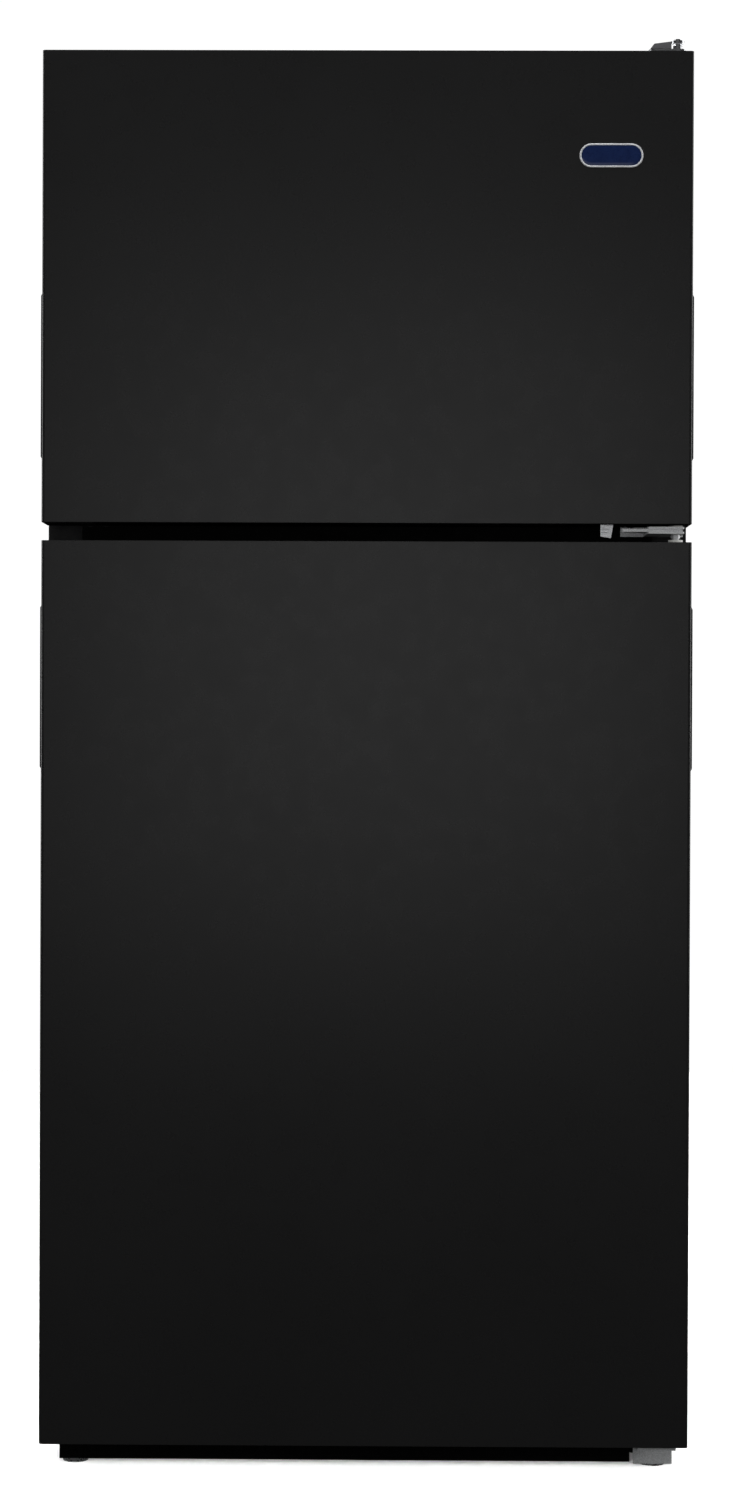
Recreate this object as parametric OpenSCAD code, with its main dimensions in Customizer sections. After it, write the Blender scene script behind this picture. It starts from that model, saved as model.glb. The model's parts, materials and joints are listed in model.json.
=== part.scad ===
// Top freezer refrigerator: steel cabinet, two foamed doors on one hinge line, static interior
// fittings, sealed refrigeration circuit, feet and rollers.
// Millimetres, +Z up, +X to the viewer's right, doors facing -Y.
// The origin is on the floor, under the centre of the overall box.

/* [Cabinet] */
// Width across the cabinet and the doors
body_w = 756; // [740:2:780]
// Depth of the cabinet behind its front flange
cabinet_d = 690; // [680:2:710]
// Thickness of the side walls round the fresh food compartment
side_wall = 40; // [38:1:42]
// Thickness of the side walls round the freezer
freezer_wall = 56; // [54:1:60]
// Height of the front rail between the two compartments
rail_h = 87; // [85:1:90]
// Gap between the floor and the cabinet's steel wrapper
toe_h = 34; // [34:1:35]

/* [Doors] */
// Thickness of both doors, without their gaskets
door_t = 66; // [66:1:70]
// Height of the fresh food door
fridge_door_h = 1053; // [1040:1:1080]
// Height of the freezer door
freezer_door_h = 548; // [540:1:570]
// Gap between the two doors
door_gap = 21; // [21:1:22]
// Gap between the doors and the cabinet, filled by the gaskets
gasket_gap = 12; // [12:1:13]
// Length of the freezer door's side grips
freezer_grip_l = 195; // [160:1:220]
// Length of the fresh food door's side grips
fridge_grip_l = 193; // [160:1:220]

/* [Interior] */
// Height of the lower glass shelf above the compartment's floor
shelf_1_h = 468; // [420:1:500]
// Height of the upper glass shelf above the compartment's floor
shelf_2_h = 710; // [680:1:730]
// Height of the crisper drawers
crisper_h = 208; // [180:1:210]
// Height of the machine compartment's roof above the floor
machine_top = 250; // [246:1:254]

/* [Hidden] */
$fn = 48;
e = 0.1;                        // clearance between nested pieces of one body
cut = 1;                        // how far a cutting shape runs past a face

// Depths, front to back
badge_t = 2;
depth = badge_t + door_t + gasket_gap + cabinet_d;
y_door = -depth / 2 + badge_t;  // front face of both doors
y_inner = y_door + door_t;      // back face of the doors
y_cab = y_inner + gasket_gap;   // front flange of the cabinet
y_back = depth / 2;             // back of the cabinet
hw = body_w / 2;

// Heights
fridge_z = [42, 42 + fridge_door_h];
freezer_z = [fridge_z[1] + door_gap, fridge_z[1] + door_gap + freezer_door_h];
cab_top = freezer_z[1] - 3;
rail_mid = (fridge_z[1] + freezer_z[0]) / 2;
rail_z = [rail_mid - rail_h / 2, rail_mid + rail_h / 2];

// Sheet metal and compartments
sheet = 1;
liner_t = 2;
flange_w = 40;
head_h = 30;                    // height of the front flange over the freezer
panel_set = 1.5;                // how far the rear sheet sits in from the cabinet's back
corner_r = 14;                  // corner radius of both liners
fridge_x = hw - side_wall;
freezer_x = hw - freezer_wall;
fridge_cz = [toe_h + 41, rail_z[0]];
freezer_cz = [rail_z[1], cab_top - head_h];
fridge_cy = y_back - 51;
freezer_cy = y_back - 61;
floor_z = fridge_cz[0] + liner_t;
ceiling_z = fridge_cz[1] - liner_t;
machine_y = y_back - 230;
machine_wall = 50;
step_y = machine_y - machine_wall;
step_z = machine_top + machine_wall - liner_t;
rail_depth = 15;

// Hinge line
pin_x = hw - 16;
pin_y = y_door + 38;
pin_r = 4;
bore_r = 4.06;
pin_reach = 14;
bush_r = 7;
bush_l = 15;
plate_t = 3.5;

// Door shells
cap_h = 10;
cap_inset = 0.5;
door_r = 4;
gasket_x = [hw - 38, hw - 18];
gasket_in = 13;
gasket_w = 18;
dyke_w = 26;
dyke_y = y_inner + 55;
bin_y = y_inner + 72;
bin_t = 2.5;
freezer_grip_z = [freezer_z[0] + 73, freezer_z[0] + 73 + freezer_grip_l];
fridge_grip_z = [fridge_z[1] - 74 - fridge_grip_l, fridge_z[1] - 74];
freezer_dyke_x = freezer_x - 20;
fridge_dyke_x = fridge_x - 20;
freezer_dyke_z = [freezer_cz[0] + 16, freezer_cz[1] - 19];
fridge_dyke_z = [fridge_cz[0] + 20, ceiling_z - 24];

// Feet
leg_x = hw - 33;
leg_y = y_cab + 26;
roller_y = y_back - 55;
roller_r = 14;

// Screws and plugs, as [x, y] on the cabinet's top and under it, and as [x, z] on its front
screw_r = 2.4;
screw_l = 14;
head_r = 5.5;
head_t = 3;
top_plate_z = freezer_z[1] + 2;
top_screws = [[pin_x - 20, y_cab + 20], [pin_x + 1, y_cab + 43], [pin_x - 20, y_cab + 65]];
mid_screws = [for (x = [pin_x - 52, pin_x - 34, pin_x + 4]) [x, rail_mid + 14.5]];
low_screws = [[pin_x - 34, y_cab + 8], [pin_x - 3, y_cab + 8]];
plug_r = 5;
top_plugs = [for (s = top_screws) [-s[0], s[1]]];
mid_plugs = [for (s = mid_screws) [-s[0], s[1]]];

// Interior fittings
shelf_t = 12;
glass_t = 3.2;
glass_drop = 0.8;
shelf_x = fridge_x - liner_t - 3;
shelf_y = [y_cab + 155, fridge_cy - 8];
cover_y = [y_cab + 108, fridge_cy - 8];
rib = 8;
shelf_z = [floor_z + shelf_1_h, floor_z + shelf_2_h];
cover_z = step_z + liner_t + 2;
freezer_shelf_z = freezer_cz[0] + 0.49 * (freezer_cz[1] - freezer_cz[0]);
crisper_x = [5, fridge_x - 18];
crisper_y = [y_cab + 110, step_y - 10];
crisper_z = [floor_z + 1, floor_z + 1 + crisper_h];
crisper_t = 2.5;
slider_x = 115;
control_y = 70;
control_z = [ceiling_z - 56, ceiling_z];
knob_x = 85;
knob_z = control_z[0] + 27;
knob_r = 18;
post_r = 3;
switch_x = 250;
switch_z = ceiling_z - 9;
switch_r = 4;
dairy_z = [fridge_dyke_z[1] - dyke_w - 111.5, fridge_dyke_z[1] - dyke_w - 1.5];
dairy_pin_y = bin_y - 4;
dairy_pin_z = dairy_z[1] - 12;
dairy_front_h = 30;
duct_y = y_back - 149;

// Refrigeration circuit
evap_x = 240;
evap_cols = [duct_y + 34, duct_y + 62];
evap_rows = [for (i = [0:5]) freezer_cz[0] + 54 + 38 * i];
heater_y = [evap_cols[0], evap_cols[0] + 24];
heater_z = evap_rows[0] - 32;
heater_r = 3.5;
evap_fan_z = freezer_cz[1] - 88;
evap_fan_y = duct_y + 18;
comp_x = 175;
comp_y = machine_y + 110;
comp_r = 72;
comp_z = [toe_h + 18, toe_h + 168];
cond_x = [-318, -105];
cond_cols = [for (i = [0:2]) machine_y + 50 + 55 * i];
cond_rows = [for (i = [0:5]) toe_h + 44 + 26 * i];
cond_r = 3.2;
cond_fan_x = -45;
cond_fan_y = machine_y + 105;
cond_fan_z = toe_h + 100;
shaft_r = 1.6;
shaft_bore = 1.66;
gland_x = 300;
gland_z = 130;

// ---------------------------------------------------------------- shared shapes

// A box from ranges along the three axes
module block(x, y, z) {
    translate([x[0], y[0], z[0]]) cube([x[1] - x[0], y[1] - y[0], z[1] - z[0]]);
}

module both_sides() {
    children();
    mirror([1, 0, 0]) children();
}

// A drawing in X and Z, made solid along Y
module along_y(y) {
    translate([0, y[1], 0]) rotate([90, 0, 0]) linear_extrude(y[1] - y[0]) children();
}

// A drawing in Y and Z, made solid along X
module along_x(x) {
    translate([x[0], 0, 0]) rotate([90, 0, 90]) linear_extrude(x[1] - x[0]) children();
}

// A drawing in X and Y, made solid along Z
module along_z(z) {
    translate([0, 0, z[0]]) linear_extrude(z[1] - z[0]) children();
}

module rect(a, b) {
    translate([a[0], b[0]]) square([a[1] - a[0], b[1] - b[0]]);
}

module round_rect(a, b, r) {
    rect([a[0] + r, a[1] - r], b);
    rect(a, [b[0] + r, b[1] - r]);
    for (u = [a[0] + r, a[1] - r]) for (v = [b[0] + r, b[1] - r]) translate([u, v]) circle(r);
}

module rod_x(x, y, z, r) {
    translate([x[0], y, z]) rotate([0, 90, 0]) cylinder(h = x[1] - x[0], r = r);
}

module rod_y(x, y, z, r) {
    translate([x, y[0], z]) rotate([-90, 0, 0]) cylinder(h = y[1] - y[0], r = r);
}

module rod_z(x, y, z, r) {
    translate([x, y, z[0]]) cylinder(h = z[1] - z[0], r = r);
}

// A half turn of tube that joins two rows lying along X, bulging towards sx
module return_bend(x, y, z, pitch, r, sx) {
    translate([x, y, z + pitch / 2]) rotate([90, 0, 0])
        rotate([0, 0, sx > 0 ? -90 : 90]) rotate_extrude(angle = 180) translate([pitch / 2, 0]) circle(r, $fn = 20);
}

// Rows of tube along X in one column, joined by return bends at alternate ends.
// first is 1 where the lowest bend is at the +X end, and -1 where it is at the -X end.
module serpentine(x, y, rows, r, first) {
    pitch = rows[1] - rows[0];
    for (z = rows) rod_x(x, y, z, r, $fn = 20);
    for (i = [0:len(rows) - 2]) {
        sx = i % 2 == 0 ? first : -first;
        return_bend(sx > 0 ? x[1] : x[0], y, rows[i], pitch, r, sx);
    }
}

// An open-topped box with the front wall lower than the back, walls t thick
module open_bin(x, y, z, front_h, back_h, t) {
    difference() {
        along_x(x) polygon([[y[0], z], [y[1], z], [y[1], z + front_h], [y[0], z + back_h]]);
        block([x[0] + t, x[1] - t], [y[0] + t, y[1] - t], [z + t, z + back_h + cut]);
    }
}

// Fan wheel about its own Z axis: hub with a shaft bore, pitched blades
module fan_wheel(r, hub, h, blades) {
    difference() {
        union() {
            cylinder(h = h, r = hub);
            for (i = [0:blades - 1]) rotate([0, 0, i * 360 / blades])
                translate([hub - 2, 0, h / 2]) rotate([32, 0, 0])
                    translate([0, -0.3 * r, -0.8]) cube([r - hub, 0.6 * r, 1.6]);
        }
        translate([0, 0, -cut]) cylinder(h = h - 3 + cut, r = shaft_bore);
    }
}

// ---------------------------------------------------------------- cabinet shell

// Front outline of the cabinet, drawn in by a distance and open at the bottom
module cabinet_outline(inset, bottom) {
    difference() {
        round_rect([-hw + inset, hw - inset], [bottom - 20, cab_top - inset], 5 - inset);
        rect([-hw - cut, hw + cut], [bottom - 30, bottom]);
    }
}

module screw_holes() {
    r = screw_r + e;
    for (s = top_screws) rod_z(s[0], s[1], [top_plate_z - 30, top_plate_z + 10], r);
    for (s = mid_screws) rod_y(s[0], [y_cab - 5, y_cab + 30], s[1], r);
    for (s = low_screws) rod_z(s[0], s[1], [toe_h - 12, toe_h + 8], r);
    for (s = top_plugs) rod_z(s[0], s[1], [cab_top - 12, cab_top + cut], r);
    for (s = mid_plugs) rod_y(s[0], [y_cab - cut, y_cab + 12], s[1], r);
}

// Painted steel top and sides in one folded sheet, with the front flange
module cabinet_wrapper() {
    color([0.09, 0.09, 0.095])
    difference() {
        union() {
            along_y([y_cab, y_back]) difference() {
                cabinet_outline(0, toe_h);
                cabinet_outline(sheet, toe_h - cut);
            }
            along_y([y_cab, y_cab + sheet]) difference() {
                cabinet_outline(0, toe_h);
                rect([-hw + flange_w, hw - flange_w], [toe_h - cut, cab_top - head_h]);
            }
        }
        screw_holes();
    }
}

// Galvanised rear sheet round the machine compartment's opening, with stiffening beads
module back_panel() {
    y = [y_back - panel_set - sheet, y_back - panel_set];
    beads = 9;
    z = [machine_top + 110, cab_top - 110];
    color([0.55, 0.56, 0.57]) {
        along_y(y) difference() {
            cabinet_outline(sheet + e, toe_h);
            rect([-fridge_x, fridge_x], [toe_h - cut, machine_top]);
        }
        for (i = [0:beads - 1]) {
            mid = z[0] + i * (z[1] - z[0]) / (beads - 1);
            along_y([y[0], y_back]) round_rect([-hw + 60, hw - 60], [mid - 16, mid + 16], 10);
        }
    }
}

// Space that the fresh food liner fills, with the step over the machine compartment
module fridge_cavity(inset, front) {
    x = fridge_x - inset;
    z = [fridge_cz[0] + inset, fridge_cz[1] - inset];
    difference() {
        along_y([front, fridge_cy - inset]) round_rect([-x, x], z, corner_r - inset);
        block([-hw, hw], [step_y - inset, y_back], [0, step_z + inset]);
    }
}

module freezer_cavity(inset, front) {
    x = freezer_x - inset;
    z = [freezer_cz[0] + inset, freezer_cz[1] - inset];
    along_y([front, freezer_cy - inset]) round_rect([-x, x], z, corner_r - inset);
}

// Foamed-in-place insulation between the wrapper and the liners
module cabinet_foam() {
    color([0.93, 0.88, 0.70])
    difference() {
        along_y([y_cab + sheet, y_back - panel_set - sheet - e]) cabinet_outline(sheet + e, toe_h + 2);
        fridge_cavity(-e, y_cab);
        freezer_cavity(-e, y_cab);
        block([-hw + flange_w, hw - flange_w], [y_cab, y_cab + liner_t], freezer_cz);
        block([-fridge_x, fridge_x], [y_cab, y_cab + rail_depth], rail_z);
        block([-fridge_x, fridge_x], [y_cab, y_cab + liner_t], [toe_h, fridge_cz[0] + cut]);
        block([-fridge_x, fridge_x], [machine_y, y_back], [toe_h, machine_top]);
        screw_holes();
    }
}

// Ledges along both side walls that carry a shelf
module ledges(x, y, z) {
    both_sides() block([x - rib, x + cut], y, [z - rib, z]);
}

module freezer_liner() {
    inner = freezer_x - liner_t;
    color([0.93, 0.94, 0.94]) {
        difference() {
            union() {
                freezer_cavity(0, y_cab);
                block([-hw + flange_w, hw - flange_w], [y_cab, y_cab + liner_t], freezer_cz);
            }
            freezer_cavity(liner_t, y_cab - cut);
        }
        ledges(inner, [y_cab + 160, duct_y - 12], freezer_shelf_z);
    }
}

module fridge_liner() {
    inner = fridge_x - liner_t;
    color([0.93, 0.94, 0.94])
    difference() {
        union() {
            difference() {
                fridge_cavity(0, y_cab);
                fridge_cavity(liner_t, y_cab - cut);
            }
            for (z = shelf_z) ledges(inner, shelf_y, z);
            ledges(inner, [cover_y[0], step_y], cover_z);
            block([switch_x - 12, switch_x + 12], [y_cab + 5, y_cab + 43], [ceiling_z - 18, ceiling_z + cut]);
        }
        rod_y(switch_x, [y_cab, y_cab + 38], switch_z, bore_r);
    }
}

// Steel channel across the front between the compartments
module mullion_rail() {
    x = fridge_x - e;
    color([0.10, 0.10, 0.105])
    difference() {
        block([-x, x], [y_cab, y_cab + rail_depth], rail_z);
        block([-x - cut, x + cut], [y_cab + 1.5, y_cab + rail_depth + cut], [rail_z[0] + 1.5, rail_z[1] - 1.5]);
        screw_holes();
    }
}

module bottom_pan() {
    x = fridge_x - e;
    color([0.30, 0.30, 0.31])
    difference() {
        union() {
            block([-hw + sheet + e, hw - sheet - e], [y_cab + sheet, machine_y], [toe_h, toe_h + 2]);
            block([-x, x], [y_cab, y_cab + sheet], [toe_h, fridge_cz[0]]);
        }
        screw_holes();
    }
}

// Two side rails, cross members, the compressor's deck and the rear axles
module base_frame() {
    rail = [hw - 60, hw - 2];
    deck = fridge_x - 2;
    color([0.34, 0.35, 0.36])
    difference() {
        union() {
            both_sides() {
                block(rail, [y_cab + 9, y_back - 5], [toe_h - 3, toe_h]);
                block([rail[0], rail[0] + 3], [y_cab + 9, y_back - 5], [16, toe_h]);
                block([rail[1] - 3, rail[1]], [y_cab + 9, y_back - 5], [24, toe_h]);
                rod_z(leg_x, leg_y, [20, toe_h], 10);
                for (x = [rail[0], rail[1] - 3]) block([x, x + 3], [roller_y - 16, roller_y + 16], [8, toe_h]);
                rod_x([rail[0] + 1, rail[1] - 1], roller_y, roller_r, pin_r);
            }
            block([-rail[0], rail[0]], [y_cab + 11, y_cab + 14], [16, toe_h]);
            block([-rail[0], rail[0]], [y_back - 8, y_back - 5], [16, toe_h]);
            block([-deck, deck], [machine_y + 1, y_back - 5], [toe_h, toe_h + 2]);
        }
        both_sides() rod_z(leg_x, leg_y, [0, toe_h - 1.5], 5.06);
        screw_holes();
    }
}

module toe_grille() {
    x = [-hw + 16, pin_x - 46];
    slots = 26;
    pitch = (x[1] - x[0] - 30) / slots;
    color([0.05, 0.05, 0.055])
    difference() {
        block(x, [y_cab + 2, y_cab + 8], [7, toe_h - e]);
        for (i = [0:slots - 1])
            block([x[0] + 18 + i * pitch, x[0] + 8 + (i + 1) * pitch], [y_cab, y_cab + 10], [12, 28]);
    }
}

module machine_room_cover() {
    x = fridge_x - 2;
    slots = 15;
    pitch = 2 * (x - 40) / slots;
    color([0.16, 0.16, 0.17])
    difference() {
        block([-x, x], [y_back - 2, y_back], [toe_h + 8, machine_top - 1]);
        for (row = [0:2]) for (i = [0:slots - 1])
            block([-x + 44 + i * pitch, -x + 34 + (i + 1) * pitch], [y_back - 3, y_back + cut],
                  [toe_h + 28 + 54 * row, toe_h + 36 + 54 * row]);
        rod_y(gland_x, [y_back - 3, y_back + cut], gland_z, 9 + e);
    }
}

module cord_gland() {
    color([0.06, 0.06, 0.06])
    difference() {
        union() {
            rod_y(gland_x, [y_back - 12, y_back], gland_z, 9);
            rod_y(gland_x, [y_back - 5, y_back - 2 - e], gland_z, 13);
        }
        rod_y(gland_x, [y_back - 13, y_back + cut], gland_z, 4);
    }
}

// ---------------------------------------------------------------- hinges

module top_hinge() {
    color([0.74, 0.75, 0.76]) {
        difference() {
            union() {
                along_z([top_plate_z, top_plate_z + plate_t])
                    round_rect([pin_x - 35, pin_x + 8], [pin_y - 23, y_cab + 76], 7);
                along_z([cab_top, top_plate_z]) round_rect([pin_x - 35, pin_x + 8], [y_cab + 6, y_cab + 76], 4);
            }
            screw_holes();
        }
        rod_z(pin_x, pin_y, [freezer_z[1] - pin_reach, top_plate_z + plate_t + 15.5], pin_r);
        rod_z(pin_x, pin_y, [top_plate_z + plate_t, top_plate_z + plate_t + 11], 5.5, $fn = 6);
        rod_z(pin_x, pin_y, [top_plate_z + plate_t + 10.5, top_plate_z + plate_t + 13.5], 7.5);
    }
}

// Moulded cap over the top hinge's screws, with one sloping end
module top_hinge_cover() {
    z = top_plate_z + plate_t + e;
    x = [pin_x - 34, pin_x - 9];
    color([0.22, 0.22, 0.23])
    difference() {
        along_y([pin_y - 21, y_cab + 75])
            polygon([[x[0], z], [x[1], z], [x[1], z + 9], [x[0] + 5, z + 6.5]]);
        along_y([pin_y - 19, y_cab + 73])
            polygon([[x[0] + 1.2, z - cut], [x[1] - 1.2, z - cut], [x[1] - 1.2, z + 7.8], [x[0] + 6, z + 5.4]]);
    }
}

// Channel-shaped bracket between the doors, with the pins of both and a tongue for the door stop
module center_hinge() {
    top = freezer_z[0] - 2.5;
    x = [pin_x - 35, pin_x + 8];
    front = y_door + 11;
    color([0.80, 0.81, 0.82])
    difference() {
        union() {
            along_z([top - 2.6, top]) round_rect(x, [front, y_cab - 1], 3);
            along_z([top - 8, top - 5.8]) round_rect(x, [front, y_cab - 1], 3);
            block([x[0] + 2, x[1] - 2], [front + 2.5, y_cab - 2], [top - 6.5, top - 2]);
            along_z([top - 6, top - 2.4])
                polygon([[x[0] + 4, front + 1], [x[0] + 4, front + 32], [x[0] - 26, front + 10],
                         [x[0] - 31, front + 4], [x[0] - 29, front + 1]]);
            block([x[0] - 27, x[1] + 4], [y_cab - 3, y_cab], [top - 8, rail_mid + 22.5]);
            block(x, [y_cab - 6, y_cab - 1], [top - 8, top]);
            rod_z(pin_x, pin_y, [fridge_z[1] - pin_reach, freezer_z[0] + pin_reach], pin_r);
            rod_z(pin_x, pin_y, [fridge_z[1] + 6.5, top - 7], 5.5, $fn = 6);
        }
        screw_holes();
    }
}

// Folded bracket under the lower door, stiffened by two V-shaped beads
module bottom_hinge() {
    x = [pin_x - 42, pin_x + 4];
    z = fridge_z[0] - 7;
    color([0.76, 0.77, 0.78])
    difference() {
        union() {
            along_z([z, z + 3]) round_rect(x, [y_door + 17, y_cab], 2);
            block(x, [y_cab - 3, y_cab], [6, z + 3]);
            block([x[0] + 1.5, x[1]], [y_cab - 1, y_cab + 13], [toe_h - 6, toe_h - 3]);
            for (u = [x[0] + 11.5, x[0] + 34])
                along_y([y_door + 17, y_cab - 2])
                    polygon([[u - 4.2, z + 1.5], [u - 3.6, z], [u, z - 4.4], [u + 3.6, z], [u + 4.2, z + 1.5]]);
            rod_z(pin_x, pin_y, [z + 1, fridge_z[0] + pin_reach], pin_r);
        }
        screw_holes();
    }
}

module hinge_screws() {
    color([0.70, 0.71, 0.72]) {
        for (s = top_screws) {
            rod_z(s[0], s[1], [top_plate_z + plate_t - screw_l, top_plate_z + plate_t + 1], screw_r);
            rod_z(s[0], s[1], [top_plate_z + plate_t, top_plate_z + plate_t + head_t], head_r, $fn = 6);
        }
        for (s = mid_screws) {
            rod_y(s[0], [y_cab - 4, y_cab - 3 + screw_l], s[1], screw_r);
            rod_y(s[0], [y_cab - 3 - head_t, y_cab - 3], s[1], head_r, $fn = 6);
        }
        for (s = low_screws) {
            rod_z(s[0], s[1], [toe_h - 7, toe_h + 4], screw_r);
            rod_z(s[0], s[1], [toe_h - 6 - head_t, toe_h - 6], head_r, $fn = 6);
        }
    }
}

// Plugs in the screw holes that the reversed doors would use
module hinge_hole_plugs() {
    color([0.12, 0.12, 0.13]) {
        for (s = top_plugs) {
            rod_z(s[0], s[1], [cab_top - 8, cab_top + 1], screw_r);
            rod_z(s[0], s[1], [cab_top, cab_top + 1.6], plug_r);
        }
        for (s = mid_plugs) {
            rod_y(s[0], [y_cab - 1, y_cab + 8], s[1], screw_r);
            rod_y(s[0], [y_cab - 1.6, y_cab], s[1], plug_r);
        }
    }
}

// ---------------------------------------------------------------- freezer fittings

module evaporator_cover() {
    x = freezer_x - 4;
    z = [freezer_cz[0] + 4, freezer_cz[1] - 4];
    color([0.90, 0.91, 0.92])
    difference() {
        along_y([duct_y, duct_y + 3]) round_rect([-x, x], z, corner_r - liner_t - 1);
        for (i = [-9:9]) block([30 * i - 9, 30 * i + 9], [duct_y - cut, duct_y + 4], [z[0] + 12, z[0] + 18]);
        for (i = [-3:3]) block([-52 + abs(i) * 5, 52 - abs(i) * 5], [duct_y - cut, duct_y + 4],
                               [evap_fan_z + 14 * i - 3, evap_fan_z + 14 * i + 3]);
    }
}

// Finned serpentine between two end plates, which hold the heater below it
module evaporator_coil() {
    x = [-evap_x, evap_x];
    z = [evap_rows[0] - 16, evap_rows[5] + 16];
    y = [evap_cols[0] - 14, evap_cols[1] + 14];
    fins = 14;
    color([0.78, 0.80, 0.82]) {
        for (c = evap_cols) serpentine(x, c, evap_rows, 4, 1);
        rod_y(-evap_x, evap_cols, evap_rows[5], 4);
        for (i = [1:fins])
            translate([-evap_x + 15 + i * 2 * (evap_x - 15) / (fins + 1), 0, 0]) block([-0.4, 0.4], y, z);
        for (u = [-evap_x + 15, evap_x - 15])
            difference() {
                block([u - 0.8, u + 0.8], [y[0], freezer_cy - liner_t], [z[0] - 26, z[1]]);
                for (v = heater_y) rod_x([u - 2, u + 2], v, heater_z, heater_r + e);
            }
    }
}

module defrost_heater() {
    color([0.45, 0.42, 0.40]) {
        for (v = heater_y) rod_x([-evap_x, evap_x], v, heater_z, heater_r);
        translate([evap_x, (heater_y[0] + heater_y[1]) / 2, heater_z]) rotate([0, 0, -90])
            rotate_extrude(angle = 180) translate([(heater_y[1] - heater_y[0]) / 2, 0]) circle(heater_r);
    }
}

// Both fan motors, each with its bracket and shaft
module fan_motors() {
    color([0.20, 0.21, 0.22]) {
        rod_y(0, [evap_fan_y + 28, freezer_cy - liner_t], evap_fan_z, 24);
        rod_y(0, [evap_fan_y + 8, evap_fan_y + 29], evap_fan_z, shaft_r);
        block([-48, 48], [evap_fan_y + 30, evap_fan_y + 34], [evap_fan_z - 8, evap_fan_z + 8]);
        rod_x([cond_fan_x + 26, cond_fan_x + 62], cond_fan_y, cond_fan_z, 24);
        rod_x([cond_fan_x + 6, cond_fan_x + 27], cond_fan_y, cond_fan_z, shaft_r);
        block([cond_fan_x + 40, cond_fan_x + 44], [cond_fan_y - 14, cond_fan_y + 14], [toe_h + 2, cond_fan_z]);
    }
}

module evaporator_fan() {
    color([0.85, 0.86, 0.87])
    translate([0, evap_fan_y + 22, evap_fan_z]) rotate([90, 0, 0]) fan_wheel(54, 14, 18, 5);
}

module condenser_fan() {
    color([0.12, 0.12, 0.13])
    translate([cond_fan_x + 22, cond_fan_y, cond_fan_z]) rotate([0, -90, 0]) fan_wheel(62, 15, 20, 5);
}

// Slatted shelf across the freezer
module freezer_shelf() {
    x = freezer_x - liner_t - 2;
    y = [y_cab + 165, duct_y - 8];
    z = [freezer_shelf_z, freezer_shelf_z + 7];
    slats = 17;
    pitch = 2 * (x - 8) / (slats + 1);
    color([0.94, 0.95, 0.95]) {
        difference() {
            along_z(z) round_rect([-x, x], y, 10);
            along_z([z[0] - cut, z[1] + cut]) round_rect([-x + 9, x - 9], [y[0] + 12, y[1] - 9], 6);
        }
        for (i = [1:slats])
            block([-x + 8 + i * pitch - 3.5, -x + 8 + i * pitch + 3.5], [y[0] + 6, y[1] - 5], [z[0] + 2, z[1] - 1]);
        block([-x + 5, x - 5], [(y[0] + y[1]) / 2 - 4, (y[0] + y[1]) / 2 + 4], [z[0], z[1] - 1]);
    }
}

// ---------------------------------------------------------------- fresh food fittings

// Moulded ring round one shelf glass, with a deeper front edge
module shelf_ring(y, z, front_drop) {
    difference() {
        union() {
            block([-shelf_x, shelf_x], y, [z, z + shelf_t]);
            block([-shelf_x + 8, shelf_x - 8], [y[0], y[0] + 12], [z - front_drop, z + 2]);
        }
        block([-shelf_x + 18, shelf_x - 18], [y[0] + 18, y[1] - 18], [z - cut, z + shelf_t + cut]);
        block([-shelf_x + 8, shelf_x - 8], [y[0] + 8, y[1] - 8],
              [z + shelf_t - glass_t - glass_drop, z + shelf_t + cut]);
    }
}

module shelf_frames() {
    color([0.91, 0.92, 0.93]) {
        for (z = shelf_z) shelf_ring(shelf_y, z, 6);
        shelf_ring(cover_y, cover_z, 9);
    }
}

module glass_plate(y, z) {
    g = 8 + e;
    top = z + shelf_t - glass_drop;
    block([-shelf_x + g, shelf_x - g], [y[0] + g, y[1] - g], [top - glass_t, top]);
}

module shelf_glass() {
    color([0.75, 0.86, 0.84, 0.5]) {
        for (z = shelf_z) glass_plate(shelf_y, z);
        glass_plate(cover_y, cover_z);
    }
}

// Control box under the ceiling, with a post for each knob
module control_housing() {
    color([0.88, 0.89, 0.90])
    difference() {
        union() {
            along_x([-150, 150]) polygon([[control_y, control_z[0] + 3], [control_y + 3, control_z[0]],
                [fridge_cy - liner_t - e, control_z[0]], [fridge_cy - liner_t - e, control_z[1]],
                [control_y, control_z[1]]]);
            both_sides() rod_y(knob_x, [control_y - 13, control_y + cut], knob_z, post_r);
        }
        block([-147, 147], [control_y + 3, fridge_cy - liner_t - 3], [control_z[0] + 3, control_z[1] + cut]);
        block([-46, 46], [control_y + 24, control_y + 96], [control_z[0] - cut, control_z[0] + 6]);
    }
}

module led_light() {
    color([0.97, 0.97, 0.93])
    block([-45, 45], [control_y + 25, control_y + 95], [control_z[0] - 1, control_z[0] + 6]);
}

// Round knob with a bar grip, about the post it turns on
module knob(x) {
    difference() {
        union() {
            rod_y(x, [control_y - 8, control_y - 0.5], knob_z, knob_r);
            rod_y(x, [control_y - 16, control_y - 7], knob_z, knob_r - 5);
            block([x - 3, x + 3], [control_y - 18, control_y - 7], [knob_z - knob_r + 3, knob_z + knob_r - 3]);
        }
        rod_y(x, [control_y - 14, control_y], knob_z, post_r + 0.06);
        block([x - 0.8, x + 0.8], [control_y - 19, control_y - 17.4], [knob_z + 2, knob_z + knob_r]);
    }
}

module fridge_control_knob() {
    color([0.80, 0.81, 0.82]) knob(-knob_x);
}

module freezer_control_knob() {
    color([0.80, 0.81, 0.82]) knob(knob_x);
}

// Plunger that the closed door holds in
module light_switch() {
    color([0.95, 0.95, 0.95]) {
        rod_y(switch_x, [y_inner + 0.3, y_cab + 30], switch_z, switch_r);
        rod_y(switch_x, [y_inner + 6.5, y_inner + 9], switch_z, switch_r + 1.5);
    }
}

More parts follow.
